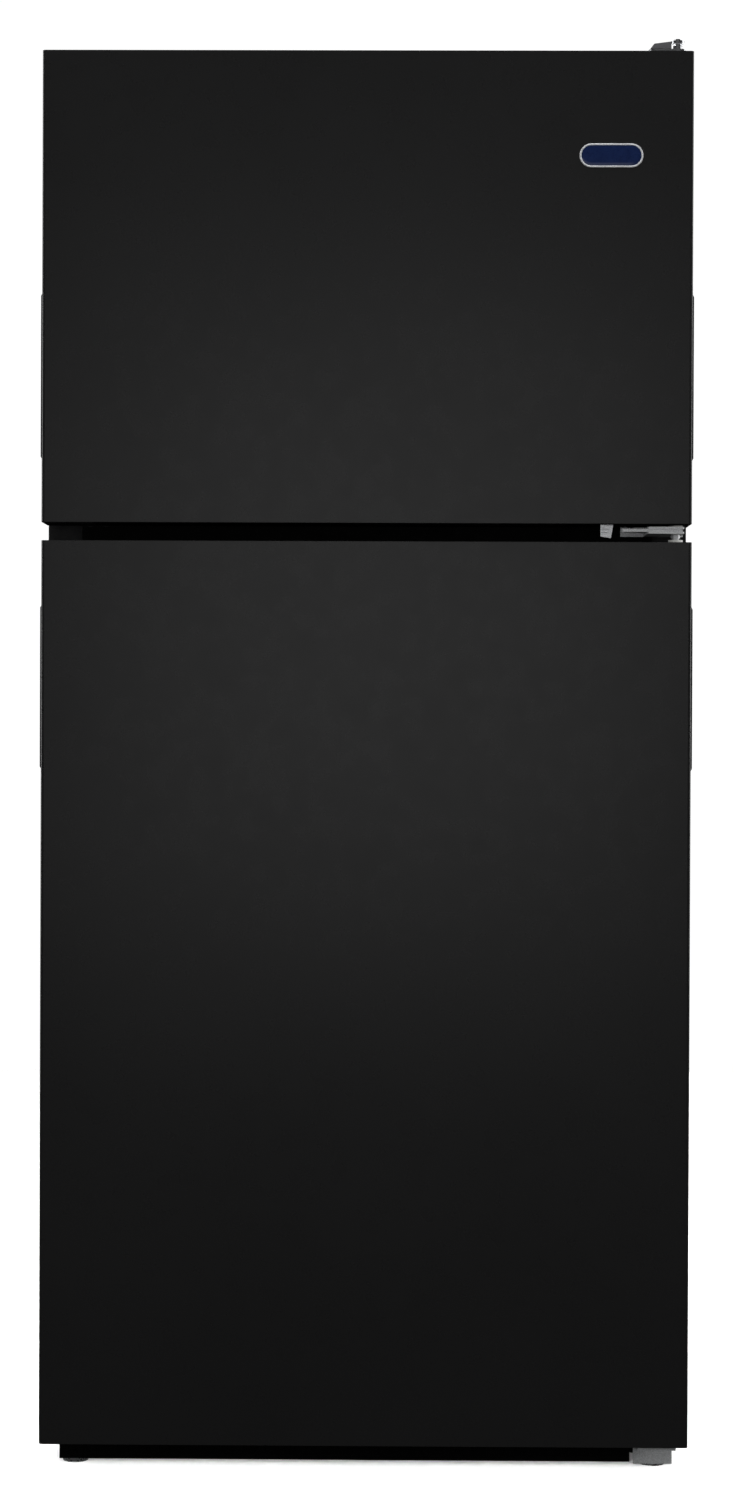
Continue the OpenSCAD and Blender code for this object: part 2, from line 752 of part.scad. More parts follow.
// Drawer open at the top, with a thick front and a pull lip
module crisper() {
    x = crisper_x;
    y = crisper_y;
    z = crisper_z;
    difference() {
        along_z(z) round_rect(x, y, 8);
        along_z([z[0] + crisper_t, z[1] + cut])
            round_rect([x[0] + crisper_t, x[1] - crisper_t], [y[0] + 5, y[1] - crisper_t], 6);
    }
    block([x[0] + 70, x[1] - 70], [y[0] - 6, y[0] + 2], [z[1] - 12, z[1] - 8]);
    block([x[0] + 70, x[1] - 70], [y[0] - 6, y[0] - 3.5], [z[1] - 22, z[1] - 8]);
}

module crisper_left() {
    color([0.80, 0.87, 0.90, 0.6]) mirror([1, 0, 0]) crisper();
}

module crisper_right() {
    color([0.80, 0.87, 0.90, 0.6]) crisper();
}

// Vent slide on the front edge over the right drawer
module humidity_slider() {
    y = cover_y[0];
    color([0.35, 0.55, 0.65]) {
        block([slider_x - 15, slider_x + 15], [y - 3.5, y - 0.4], [cover_z - 5, cover_z + 7]);
        block([slider_x - 3, slider_x + 3], [y - 7, y - 3], [cover_z - 5, cover_z + 7]);
    }
}

// ---------------------------------------------------------------- machine compartment

module compressor() {
    mid = (comp_z[0] + comp_z[1]) / 2;
    color([0.07, 0.07, 0.075]) {
        intersection() {
            rod_z(comp_x, comp_y, comp_z, comp_r);
            translate([comp_x, comp_y, mid]) sphere(r = 98);
        }
        rod_z(comp_x, comp_y, [mid - 3, mid + 3], comp_r + 3);
        block([comp_x - 95, comp_x + 95], [comp_y - 50, comp_y + 50], [comp_z[0] - 4, comp_z[0] - 1 + 2]);
        for (u = [-82, 82]) for (v = [-38, 38])
            rod_z(comp_x + u, comp_y + v, [toe_h + 2, comp_z[0] - 3], 9);
        block([comp_x + comp_r - 8, comp_x + comp_r + 26], [comp_y - 26, comp_y + 26], [mid - 5, mid + 45]);
    }
}

// Serpentine condenser, the line from the compressor and the drier, as one brazed piece
module condenser_coil() {
    top = cond_rows[5];
    line_x = comp_x - 20;
    line_y = cond_cols[2] + 14;
    port_y = comp_y + 20;
    color([0.10, 0.10, 0.105]) {
        for (y = cond_cols) serpentine(cond_x, y, cond_rows, cond_r, -1);
        for (x = [cond_x[0] + 20, (cond_x[0] + cond_x[1]) / 2, cond_x[1] - 20])
            block([x - 0.5, x + 0.5], [cond_cols[0] - 8, cond_cols[2] + 8], [cond_rows[0] - 8, top + 8]);
        rod_y(cond_x[1], [cond_cols[0], line_y], top, cond_r);
        rod_x([cond_x[1], line_x], line_y, top, cond_r);
        rod_y(line_x, [port_y, line_y], top, cond_r);
        rod_z(line_x, port_y, [comp_z[1] + 0.4, top], cond_r);
        for (p = [[cond_x[1], line_y], [line_x, line_y], [line_x, port_y]])
            translate([p[0], p[1], top]) sphere(cond_r + 1);
        rod_x([20, 100], line_y, top, 10);
    }
}

module drain_pan() {
    color([0.10, 0.10, 0.11])
    difference() {
        block([-328, -78], [machine_y + 12, y_back - 22], [toe_h + 2, toe_h + 30]);
        block([-326, -80], [machine_y + 14, y_back - 24], [toe_h + 4, toe_h + 31]);
    }
}

// ---------------------------------------------------------------- doors

// Plan of a door shell drawn in by a distance: round front corners, square back corners
module door_plan(inset) {
    x = hw - inset;
    r = door_r - inset;
    rect([-x, x], [y_door + door_r, y_inner - inset]);
    rect([-x + r, x - r], [y_door + inset, y_inner - inset]);
    for (u = [-x + r, x - r]) translate([u, y_door + door_r]) circle(r);
}

// Cuts through both sides of a door where the grips sit
module grip_cuts(z, deep) {
    both_sides() block([hw - 26 - deep, hw + cut], [y_door + 17 - e, y_door + 51 + e], [z[0] + 8 - e, z[1] - 8 + e]);
}

module door_skin(z, grip_z) {
    difference() {
        along_z(z) difference() {
            door_plan(0);
            door_plan(sheet);
        }
        block([-gasket_x[1], gasket_x[1]], [y_inner - 3, y_inner + cut], [z[0] - cut, z[1] + cut]);
        grip_cuts(grip_z, 0);
    }
}

// Raised ring of the door's liner, drawn in by a distance
module dyke(x, z, inset) {
    y = [y_inner - 3, dyke_y - inset];
    difference() {
        along_y(y) round_rect([-x + inset, x - inset], [z[0] + inset, z[1] - inset], 12 - inset);
        along_y([y[0] - cut, y[1] + cut])
            round_rect([-x + dyke_w - inset, x - dyke_w + inset], [z[0] + dyke_w - inset, z[1] - dyke_w + inset],
                       4 + inset);
    }
}

module door_liner(z, dyke_x, dyke_z) {
    difference() {
        union() {
            block([-gasket_x[1] + e, gasket_x[1] - e], [y_inner - liner_t, y_inner],
                  [z[0] + cap_h + e, z[1] - cap_h - e]);
            intersection() {
                dyke(dyke_x, dyke_z, 0);
                block([-hw, hw], [y_inner - liner_t, y_cab + 200], z);
            }
        }
        dyke(dyke_x, dyke_z, liner_t);
    }
}

module door_foam(z, grip_z, dyke_x, dyke_z) {
    body = [z[0] + cap_h + e, z[1] - cap_h - e];
    difference() {
        union() {
            intersection() {
                along_z(body) door_plan(sheet + e);
                block([-hw, hw], [y_door, y_inner - liner_t - e], z);
            }
            dyke(dyke_x, dyke_z, liner_t + e);
        }
        grip_cuts(grip_z, e);
        for (w = [z[0] - cut, z[1] - bush_l - 1]) rod_z(pin_x, pin_y, [w, w + bush_l + 1 + cut], bush_r + e);
    }
}

// Moulded ends that close the skin at the top and the bottom
module door_caps(z) {
    for (w = [[z[0] + cap_inset, z[0] + cap_h], [z[1] - cap_h, z[1] - cap_inset]])
        difference() {
            along_z(w) door_plan(sheet + e);
            rod_z(pin_x, pin_y, [w[0] - cut, w[1] + cut], bush_r + e);
        }
}

module door_gasket(z) {
    zi = [z[0] + gasket_in, z[1] - gasket_in];
    along_y([y_inner, y_cab - 0.3]) difference() {
        round_rect([-gasket_x[1], gasket_x[1]], zi, 5);
        rect([-gasket_x[0], gasket_x[0]], [zi[0] + gasket_w, zi[1] - gasket_w]);
    }
}

// Moulded finger cups in both edges of a door, each with a proud chamfered flange
module door_grips(z) {
    both_sides()
    difference() {
        union() {
            along_y([y_door + 9, y_door + 57])
                polygon([[hw, z[0]], [hw + 2, z[0] + 4], [hw + 2, z[1] - 4], [hw, z[1]]]);
            block([hw - 26, hw + 1], [y_door + 17, y_door + 51], [z[0] + 8, z[1] - 8]);
        }
        along_y([y_door + 19, y_door + 49]) round_rect([hw - 24, hw + 12], [z[0] + 10, z[1] - 10], 8);
    }
}

// Nylon bushing in one end of a door; dir is 1 where its body goes up into the door
module door_bushing(z, flange, dir) {
    translate([pin_x, pin_y, z]) mirror([0, 0, dir > 0 ? 0 : 1])
    difference() {
        union() {
            translate([0, 0, -flange]) cylinder(h = flange + cap_inset, r = 8.5);
            cylinder(h = bush_l, r = bush_r);
        }
        translate([0, 0, -flange - cut]) cylinder(h = flange + cut + pin_reach + 0.4, r = bore_r);
    }
}

paint = [0.11, 0.11, 0.115];
liner_white = [0.94, 0.95, 0.95];

module freezer_door_skin() {
    color(paint) door_skin(freezer_z, freezer_grip_z);
}

module freezer_door_foam() {
    color([0.93, 0.88, 0.70]) door_foam(freezer_z, freezer_grip_z, freezer_dyke_x, freezer_dyke_z);
}

module freezer_door_liner() {
    color(liner_white) door_liner(freezer_z, freezer_dyke_x, freezer_dyke_z);
}

module freezer_door_gasket() {
    color([0.10, 0.10, 0.10]) door_gasket(freezer_z);
}

module freezer_door_caps() {
    color([0.07, 0.07, 0.075]) door_caps(freezer_z);
}

module freezer_door_grips() {
    color([0.05, 0.05, 0.05]) door_grips(freezer_grip_z);
}

module freezer_door_bins() {
    x = freezer_dyke_x - dyke_w - 1;
    color([0.88, 0.92, 0.94, 0.8])
    for (z = [freezer_dyke_z[0] + 34, freezer_dyke_z[0] + 244])
        open_bin([-x, x], [y_inner + e, bin_y], z, 75, 90, bin_t);
}

// Tab under the freezer door that stops it at its full swing
module freezer_door_stop() {
    x = [pin_x - 89.5, pin_x - 74.5];
    z = freezer_z[0];
    y = y_door + 13;
    color([0.50, 0.51, 0.52]) {
        along_y([y, y + 2]) polygon([[x[0], z], [x[1], z], [x[1] - 2.7, z - 16], [x[0], z - 14]]);
        block(x, [y, y + 26], [z - 1.5, z]);
        rod_y(x[0] + 6.5, [y - 2, y + 1], z - 5.5, 3.6);
    }
}

module freezer_door_bushings() {
    color([0.92, 0.92, 0.90]) {
        door_bushing(freezer_z[0], 1.5, 1);
        door_bushing(freezer_z[1], 1.0, -1);
    }
}

// Blank oval plate with a raised rim
module badge() {
    x = [hw - 132.5, hw - 58.5];
    z = [freezer_z[1] - 135.5, freezer_z[1] - 107.5];
    color([0.72, 0.73, 0.75])
    difference() {
        along_y([y_door - badge_t, y_door]) round_rect(x, z, 13.9);
        along_y([y_door - badge_t - cut, y_door - 1.1])
            round_rect([x[0] + 2.5, x[1] - 2.5], [z[0] + 2.5, z[1] - 2.5], 11.4);
    }
}

module fridge_door_skin() {
    color(paint) door_skin(fridge_z, fridge_grip_z);
}

module fridge_door_foam() {
    color([0.93, 0.88, 0.70]) door_foam(fridge_z, fridge_grip_z, fridge_dyke_x, fridge_dyke_z);
}

module fridge_door_liner() {
    color(liner_white) door_liner(fridge_z, fridge_dyke_x, fridge_dyke_z);
}

module fridge_door_gasket() {
    color([0.10, 0.10, 0.10]) door_gasket(fridge_z);
}

module fridge_door_caps() {
    color([0.07, 0.07, 0.075]) door_caps(fridge_z);
}

module fridge_door_grips() {
    color([0.05, 0.05, 0.05]) door_grips(fridge_grip_z);
}

// Three open bins and the dairy box, which has end walls and a roof for its lid
module fridge_door_bins() {
    x = fridge_dyke_x - dyke_w - 1;
    y = [y_inner + e, bin_y];
    color([0.88, 0.92, 0.94, 0.8]) {
        open_bin([-x, x], y, fridge_dyke_z[0] + 32, 120, 140, bin_t);
        open_bin([-x, x], y, fridge_dyke_z[0] + 300, 85, 100, bin_t);
        open_bin([-x, x], y, fridge_dyke_z[0] + 550, 85, 100, bin_t);
        difference() {
            union() {
                open_bin([-x, x], [y[0], bin_y - 6], dairy_z[0], dairy_front_h, dairy_front_h, bin_t);
                both_sides() block([x - bin_t, x], [y[0], bin_y], dairy_z);
                block([-x, x], [y[0], bin_y - 12], [dairy_z[1] - bin_t, dairy_z[1]]);
            }
            both_sides() rod_x([x - bin_t - cut, x + cut], dairy_pin_y, dairy_pin_z, 3.06);
        }
    }
}

module fridge_door_bushings() {
    color([0.92, 0.92, 0.90]) {
        door_bushing(fridge_z[0], 1.5, 1);
        door_bushing(fridge_z[1], 4.5, -1);
    }
}

// Flap on two stub pins at its top edge
module dairy_lid() {
    x = fridge_dyke_x - dyke_w - 1 - bin_t;
    y = dairy_pin_y;
    color([0.82, 0.90, 0.93, 0.6]) {
        block([-x + 0.5, x - 0.5], [y - 1.5, y + 1], [dairy_z[0] + dairy_front_h - 6, dairy_pin_z]);
        rod_x([-x + 0.5, x - 0.5], y, dairy_pin_z, 4);
        rod_x([-x - bin_t + 0.2, x + bin_t - 0.2], y, dairy_pin_z, 3);
        block([-60, 60], [y, y + 3.5], [dairy_z[0] + dairy_front_h - 6, dairy_z[0] + dairy_front_h + 4]);
    }
}

// ---------------------------------------------------------------- feet and rollers

module roller(x) {
    color([0.08, 0.08, 0.085])
    difference() {
        union() {
            rod_x([x - 9, x + 9], roller_y, roller_r, roller_r);
            rod_x([x - 12, x + 12], roller_y, roller_r, 7);
        }
        rod_x([x - 13, x + 13], roller_y, roller_r, bore_r);
    }
}

module leveling_leg() {
    color([0.62, 0.63, 0.64]) {
        rod_z(leg_x, leg_y, [4, toe_h - 2], 5);
        rod_z(leg_x, leg_y, [0, 5], 15);
        rod_z(leg_x, leg_y, [5, 12], 9, $fn = 6);
    }
}

module rear_roller_left() {
    roller(-leg_x);
}

module rear_roller_right() {
    roller(leg_x);
}

module leveling_leg_left() {
    mirror([1, 0, 0]) leveling_leg();
}

module leveling_leg_right() {
    leveling_leg();
}

// ---------------------------------------------------------------- nodes

cabinet_wrapper();
back_panel();
cabinet_foam();
freezer_liner();
fridge_liner();
mullion_rail();
bottom_pan();
base_frame();
toe_grille();
top_hinge();
top_hinge_cover();
center_hinge();
bottom_hinge();
hinge_screws();
hinge_hole_plugs();
evaporator_cover();
evaporator_coil();
defrost_heater();
fan_motors();
freezer_shelf();
control_housing();
led_light();
shelf_frames();
shelf_glass();
compressor();
condenser_coil();
drain_pan();
machine_room_cover();
cord_gland();
freezer_door_skin();
freezer_door_foam();
freezer_door_liner();
freezer_door_gasket();
freezer_door_caps();
freezer_door_grips();
freezer_door_bins();
freezer_door_stop();
freezer_door_bushings();
badge();
fridge_door_skin();
fridge_door_foam();
fridge_door_liner();
fridge_door_gasket();
fridge_door_caps();
fridge_door_grips();
fridge_door_bins();
fridge_door_bushings();
dairy_lid();
crisper_left();
crisper_right();
humidity_slider();
fridge_control_knob();
freezer_control_knob();
light_switch();
rear_roller_left();
rear_roller_right();
leveling_leg_left();
leveling_leg_right();
evaporator_fan();
condenser_fan();
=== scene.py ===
"""Looks of the top freezer refrigerator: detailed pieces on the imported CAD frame, and a studio."""

import json
import math

import bmesh
import bpy
from mathutils import Matrix, Vector


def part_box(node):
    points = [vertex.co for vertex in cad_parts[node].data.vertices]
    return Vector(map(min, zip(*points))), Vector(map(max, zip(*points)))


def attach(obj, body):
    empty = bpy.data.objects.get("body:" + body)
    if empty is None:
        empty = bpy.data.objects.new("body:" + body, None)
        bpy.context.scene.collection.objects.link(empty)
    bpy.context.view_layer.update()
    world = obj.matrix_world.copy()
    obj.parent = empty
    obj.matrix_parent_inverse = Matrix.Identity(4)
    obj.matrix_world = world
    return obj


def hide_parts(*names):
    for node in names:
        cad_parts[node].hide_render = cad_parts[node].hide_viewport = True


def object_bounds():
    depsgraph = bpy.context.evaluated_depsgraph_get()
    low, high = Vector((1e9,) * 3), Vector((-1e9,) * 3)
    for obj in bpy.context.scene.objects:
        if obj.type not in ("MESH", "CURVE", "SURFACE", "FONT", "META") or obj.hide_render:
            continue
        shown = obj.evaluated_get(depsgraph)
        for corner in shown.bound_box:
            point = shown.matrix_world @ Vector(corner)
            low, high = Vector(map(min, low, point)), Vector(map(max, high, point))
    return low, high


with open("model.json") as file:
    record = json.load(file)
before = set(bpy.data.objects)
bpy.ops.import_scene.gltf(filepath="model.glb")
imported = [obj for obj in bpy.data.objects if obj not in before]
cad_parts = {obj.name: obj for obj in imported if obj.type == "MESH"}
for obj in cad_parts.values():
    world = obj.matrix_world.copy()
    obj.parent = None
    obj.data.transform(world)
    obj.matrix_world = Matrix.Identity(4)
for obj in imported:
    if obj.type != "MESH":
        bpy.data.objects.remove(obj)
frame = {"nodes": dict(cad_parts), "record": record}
CAD_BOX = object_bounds()
RECORD = frame["record"]
NODE_SLOT = {s["node"]: s["material_slot"] for s in RECORD["subparts"]}
NODE_BODY = {n: b for b, nodes in RECORD["behaviour"]["bodies"].items() for n in nodes}


# ---------------------------------------------------------------- node helpers

# Noise values lie mostly between these two, so tints and roughness spread over this range.
MID_LOW = 0.3
MID_HIGH = 0.7


class Shader:
    """A new material with a Principled shader, and short calls to add nodes before it."""

    def __init__(self, name, color, roughness, metallic=0.0, specular=0.5):
        self.material = bpy.data.materials.new(name)
        self.material.use_nodes = True
        self.tree = self.material.node_tree
        self.bsdf = self.tree.nodes["Principled BSDF"]
        self.set("Base Color", (*color, 1.0))
        self.set("Roughness", roughness)
        self.set("Metallic", metallic)
        self.set("Specular IOR Level", specular)
        self.coords = self.tree.nodes.new("ShaderNodeTexCoord").outputs["Object"]

    def set(self, socket, value):
        self.bsdf.inputs[socket].default_value = value

    def node(self, kind, inputs, **properties):
        made = self.tree.nodes.new(kind)
        for key, value in properties.items():
            setattr(made, key, value)
        for key, value in inputs.items():
            if isinstance(value, bpy.types.NodeSocket):
                self.tree.links.new(value, made.inputs[key])
            else:
                made.inputs[key].default_value = value
        return made

    def stretched(self, scale):
        return self.node("ShaderNodeMapping", {"Vector": self.coords, "Scale": scale}).outputs["Vector"]

    def noise(self, scale, detail=2.0, vector=None):
        inputs = {"Vector": vector or self.coords, "Scale": scale, "Detail": detail}
        return self.node("ShaderNodeTexNoise", inputs).outputs["Fac"]

    def cells(self, scale, feature="F1", output="Distance"):
        inputs = {"Vector": self.coords, "Scale": scale}
        return self.node("ShaderNodeTexVoronoi", inputs, feature=feature).outputs[output]

    def spread(self, value, low, high):
        """The middle range of a noise value, spread from low to high."""
        inputs = {"Value": value, "From Min": MID_LOW, "From Max": MID_HIGH, "To Min": low, "To Max": high}
        return self.node("ShaderNodeMapRange", inputs).outputs["Result"]

    def tint(self, value, dark, light):
        """Base colour between two colours, by a value from 0 to 1."""
        ramp = self.node("ShaderNodeValToRGB", {"Fac": value})
        ramp.color_ramp.elements[0].color = (*dark, 1.0)
        ramp.color_ramp.elements[0].position = MID_LOW
        ramp.color_ramp.elements[1].color = (*light, 1.0)
        ramp.color_ramp.elements[1].position = MID_HIGH
        self.tree.links.new(ramp.outputs["Color"], self.bsdf.inputs["Base Color"])

    def vary_roughness(self, value, low, high):
        self.tree.links.new(self.spread(value, low, high), self.bsdf.inputs["Roughness"])

    def bump(self, heights):
        """Bump from a list of (height socket, distance in metres), stacked."""
        normal = None
        for height, distance in heights:
            inputs = {"Height": height, "Distance": distance, "Strength": 1.0}
            if normal is not None:
                inputs["Normal"] = normal
            normal = self.node("ShaderNodeBump", inputs).outputs["Normal"]
        self.tree.links.new(normal, self.bsdf.inputs["Normal"])


# ---------------------------------------------------------------- materials

def enamel_material():
    """Near-black satin enamel of the doors: fine orange peel, faint cloudiness."""
    s = Shader("door_enamel", (0.0068, 0.0068, 0.0069), 0.28, specular=0.43)
    cloud = s.noise(5.0, detail=4.0)
    s.tint(cloud, (0.0064, 0.0064, 0.0065), (0.0072, 0.0072, 0.0073))
    s.vary_roughness(s.noise(40.0, detail=3.0), 0.265, 0.295)
    s.bump([(s.noise(900.0, detail=1.0), 0.000003)])
    return s.material


def pebbled_material():
    """Textured black paint of the cabinet: small rounded pebbles."""
    s = Shader("cabinet_enamel", (0.007, 0.007, 0.0073), 0.5, specular=0.28)
    s.tint(s.noise(6.0, detail=3.0), (0.006, 0.006, 0.0063), (0.008, 0.008, 0.0083))
    s.vary_roughness(s.noise(120.0), 0.42, 0.56)
    s.bump([(s.cells(520.0, feature="SMOOTH_F1"), 0.00018), (s.noise(1400.0), 0.00003)])
    return s.material


def moulded_material(name, color, roughness, grain=0.00003, specular=0.4, lift=1.25):
    """Fine-grained moulded plastic."""
    s = Shader(name, color, roughness, specular=specular)
    s.tint(s.noise(14.0, detail=4.0), color, tuple(c * lift for c in color))
    s.vary_roughness(s.noise(90.0, detail=3.0), roughness - 0.05, roughness + 0.06)
    s.bump([(s.noise(1900.0, detail=2.0), grain)])
    return s.material


def gloss_material(name, color, roughness=0.22):
    """Smooth white plastic, with a very fine grain."""
    s = Shader(name, color, roughness, specular=0.5)
    s.tint(s.noise(3.0, detail=3.0), tuple(c * 0.965 for c in color), color)
    s.vary_roughness(s.noise(28.0, detail=4.0), roughness - 0.04, roughness + 0.08)
    s.bump([(s.noise(900.0), 0.000004)])
    return s.material


def zinc_material(name, color, roughness, spangle=160.0):
    """Zinc-coated steel: crystals of slightly different grey, drawn scratches."""
    s = Shader(name, color, roughness, metallic=0.4)
    crystal = s.cells(spangle, output="Color")
    value = s.node("ShaderNodeRGBToBW", {"Color": crystal}).outputs["Val"]
    s.tint(value, tuple(c * 0.80 for c in color), tuple(min(1.0, c * 1.12) for c in color))
    scratches = s.noise(700.0, detail=3.0, vector=s.stretched((0.06, 1.0, 1.0)))
    s.vary_roughness(scratches, roughness - 0.08, roughness + 0.12)
    s.bump([(scratches, 0.00001), (s.noise(60.0), 0.00005)])
    return s.material


def painted_metal_material(name, color, roughness):
    """Thin dipped or sprayed paint over steel."""
    s = Shader(name, color, roughness, specular=0.45)
    s.tint(s.noise(22.0, detail=5.0), tuple(c * 0.8 for c in color), tuple(c * 1.3 for c in color))
    s.vary_roughness(s.noise(70.0, detail=3.0), roughness - 0.08, roughness + 0.1)
    s.bump([(s.noise(450.0, detail=2.0), 0.00004)])
    return s.material


def bare_metal_material(name, color, roughness):
    """Unpainted metal with fine drawn lines along X."""
    s = Shader(name, color, roughness, metallic=1.0)
    lines = s.noise(900.0, detail=4.0, vector=s.stretched((0.05, 1.0, 1.0)))
    s.tint(s.noise(35.0, detail=4.0), tuple(c * 0.86 for c in color), color)
    s.vary_roughness(lines, roughness - 0.08, roughness + 0.14)
    s.bump([(lines, 0.000012)])
    return s.material


def rubber_material():
    """Gasket vinyl: matte, with a light bloom."""
    s = Shader("gasket_vinyl", (0.022, 0.022, 0.023), 0.62, specular=0.35)
    s.tint(s.noise(30.0, detail=6.0), (0.018, 0.018, 0.019), (0.034, 0.034, 0.035))
    s.vary_roughness(s.noise(200.0, detail=3.0), 0.55, 0.74)
    s.bump([(s.noise(700.0, detail=3.0), 0.00004)])
    return s.material


def foam_material():
    """Yellow blown foam: open cells under a lumpy surface."""
    s = Shader("insulating_foam", (0.80, 0.66, 0.36), 0.9, specular=0.2)
    s.tint(s.noise(40.0, detail=6.0), (0.70, 0.55, 0.27), (0.86, 0.74, 0.46))
    s.vary_roughness(s.noise(160.0), 0.82, 0.97)
    s.bump([(s.cells(900.0), 0.0003), (s.noise(120.0, detail=4.0), 0.0004)])
    return s.material


def clear_material(name, color, roughness, alpha):
    """Clear glass or polystyrene: glossy skin, faint body colour, slight flow waviness."""
    s = Shader(name, color, roughness)
    s.set("Alpha", alpha)
    s.set("IOR", 1.5)
    s.set("Coat Weight", 0.5)
    s.set("Coat Roughness", 0.04)
    s.tint(s.noise(6.0, detail=3.0), tuple(c * 0.94 for c in color), color)
    s.vary_roughness(s.noise(45.0, detail=4.0), roughness, roughness + 0.06)
    s.bump([(s.noise(30.0), 0.00008), (s.noise(1300.0), 0.000004)])
    return s.material


def lens_material():
    """Frosted lamp diffuser, with a faint prism pattern."""
    s = Shader("lamp_diffuser", (0.93, 0.93, 0.90), 0.35)
    s.set("Transmission Weight", 0.25)
    s.set("Emission Color", (1.0, 0.97, 0.90, 1.0))
    s.set("Emission Strength", 0.5)
    s.tint(s.noise(50.0), (0.90, 0.90, 0.87), (0.95, 0.95, 0.92))
    s.vary_roughness(s.noise(300.0), 0.3, 0.45)
    s.bump([(s.cells(260.0), 0.0004)])
    return s.material


def badge_field_material():
    """Plain deep blue enamel field of the badge."""
    s = Shader("badge_enamel", (0.004, 0.010, 0.042), 0.28, specular=0.12)
    s.set("Coat Weight", 0.6)
    s.set("Coat Roughness", 0.08)
    s.tint(s.noise(180.0, detail=4.0), (0.003, 0.008, 0.036), (0.005, 0.012, 0.048))
    s.vary_roughness(s.noise(400.0, detail=3.0), 0.24, 0.34)
    s.bump([(s.noise(1200.0), 0.00001)])
    return s.material


MATERIALS = {
    "black_enamel": enamel_material(),
    "cabinet_enamel": pebbled_material(),
    "galvanised": zinc_material("galvanised_sheet", (0.50, 0.51, 0.52), 0.42, spangle=90.0),
    "foam": foam_material(),
    "liner_white": gloss_material("liner_white", (0.66, 0.67, 0.67), 0.38),
    "black_plastic": moulded_material("black_moulding", (0.009, 0.009, 0.0095), 0.48),
    # matt_black is darker than the black mouldings: on the mullion rail it is painted shade, on the toe
    # grille and base frame their black finish and painted shade together
    "matt_black": moulded_material("matt_black", (0.0012, 0.0012, 0.0012), 0.62, specular=0.12),
    "grey_plastic": moulded_material("grey_moulding", (0.055, 0.055, 0.058), 0.5),
    "hinge_zinc": zinc_material("hinge_zinc", (0.62, 0.63, 0.64), 0.36, spangle=1500.0),
    "screw_zinc": bare_metal_material("screw_zinc", (0.72, 0.73, 0.75), 0.25),
    "white_plastic": gloss_material("white_moulding", (0.60, 0.61, 0.61), 0.32),
    "coil_aluminium": bare_metal_material("coil_aluminium", (0.68, 0.70, 0.72), 0.36),
    "heater_metal": bare_metal_material("heater_metal", (0.30, 0.27, 0.24), 0.5),
    "lamp_lens": lens_material(),
    "shelf_glass": clear_material("tempered_glass", (0.60, 0.76, 0.71), 0.04, 0.14),
    "clear_plastic": clear_material("clear_moulding", (0.62, 0.74, 0.80), 0.07, 0.30),
    "compressor_black": painted_metal_material("compressor_paint", (0.010, 0.010, 0.011), 0.34),
    "coil_black": painted_metal_material("condenser_paint", (0.011, 0.011, 0.012), 0.42),
    "frame_steel": painted_metal_material("frame_paint", (0.045, 0.045, 0.048), 0.46),
    "gasket_rubber": rubber_material(),
    "nylon": moulded_material("nylon", (0.66, 0.66, 0.63), 0.4, lift=1.06),
    "badge_rim": zinc_material("badge_rim", (0.72, 0.73, 0.75), 0.24, spangle=900.0),
    "badge_field": badge_field_material(),
    "slider_blue": moulded_material("slider_tint", (0.06, 0.18, 0.27), 0.34),
    "roller_black": moulded_material("roller_black", (0.012, 0.012, 0.012), 0.45),
    "scale_grey": moulded_material("scale_print", (0.16, 0.18, 0.20), 0.4),
}
NODE_MATERIAL = dict(
    NODE_SLOT,
    cabinet_wrapper="cabinet_enamel",
    # Mullion rail: painted steel given near-black matt_black as painted shade in the gap between the doors
    mullion_rail="matt_black",
    # Toe grille and base frame: their black finish darkened to near-black as painted shade under the lower
    # door
    toe_grille="matt_black",
    base_frame="matt_black",
    freezer_door_stop="screw_zinc",
    top_hinge="screw_zinc",
)


# ---------------------------------------------------------------- mesh helpers

WELD = 0.00002          # points closer than this are one point
FLAT_ANGLE = 0.6        # faces within this many degrees are one flat
SHARP_ANGLE = 38.0      # edges sharper than this many degrees are rounded
BEVEL_SEGMENTS = 2


def finish_piece(obj, node, material=None, replaced=True):
    """Gives a piece its material and body, and where it stands for a node, hides that node."""
    obj.data.materials.clear()
    obj.data.materials.append(MATERIALS[material or NODE_MATERIAL[node]])
    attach(obj, NODE_BODY[node])
    if replaced:
        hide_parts(node)


def new_object(name, bm):
    """A scene object made of bm, with its faces turned outwards; bm is freed."""
    bmesh.ops.recalc_face_normals(bm, faces=bm.faces)
    mesh = bpy.data.meshes.new(name)
    bm.to_mesh(mesh)
    bm.free()
    obj = bpy.data.objects.new(name, mesh)
    bpy.context.scene.collection.objects.link(obj)
    return obj


def apply_modifiers(obj):
    """Turns the object's modifiers into mesh."""
    graph = bpy.context.evaluated_depsgraph_get()
    mesh = bpy.data.meshes.new_from_object(obj.evaluated_get(graph), depsgraph=graph)
    obj.modifiers.clear()
    obj.data = mesh


def soften(obj, width):
    """Rounds the sharp edges, and shades flats flat and rounds round."""
    bevel = obj.modifiers.new("bevel", "BEVEL")
    bevel.width = width
    bevel.segments = BEVEL_SEGMENTS
    bevel.limit_method = "ANGLE"
    bevel.angle_limit = math.radians(SHARP_ANGLE)
    bevel.miter_outer = "MITER_ARC"
    bevel.use_clamp_overlap = True
    normals = obj.modifiers.new("normals", "WEIGHTED_NORMAL")
    normals.keep_sharp = True
    for face in obj.data.polygons:
        face.use_smooth = True
    apply_modifiers(obj)


def refined(node, width):
    """A copy of a CAD node's shape with its edges rounded, standing for that node."""
    bm = bmesh.new()
    bm.from_mesh(frame["nodes"][node].data)
    bmesh.ops.remove_doubles(bm, verts=bm.verts, dist=WELD)
    bmesh.ops.dissolve_limit(bm, angle_limit=math.radians(FLAT_ANGLE), verts=bm.verts, edges=bm.edges)
    obj = new_object(node + "_piece", bm)
    soften(obj, width)
    finish_piece(obj, node)


def box_into(bm, low, high):
    """Adds a box between two corners, and gives its points."""
    size = [b - a for a, b in zip(low, high)]
    mid = [(a + b) / 2 for a, b in zip(low, high)]
    matrix = Matrix.Translation(mid) @ Matrix.Diagonal((*size, 1.0))
    return bmesh.ops.create_cube(bm, size=1.0, matrix=matrix)["verts"]


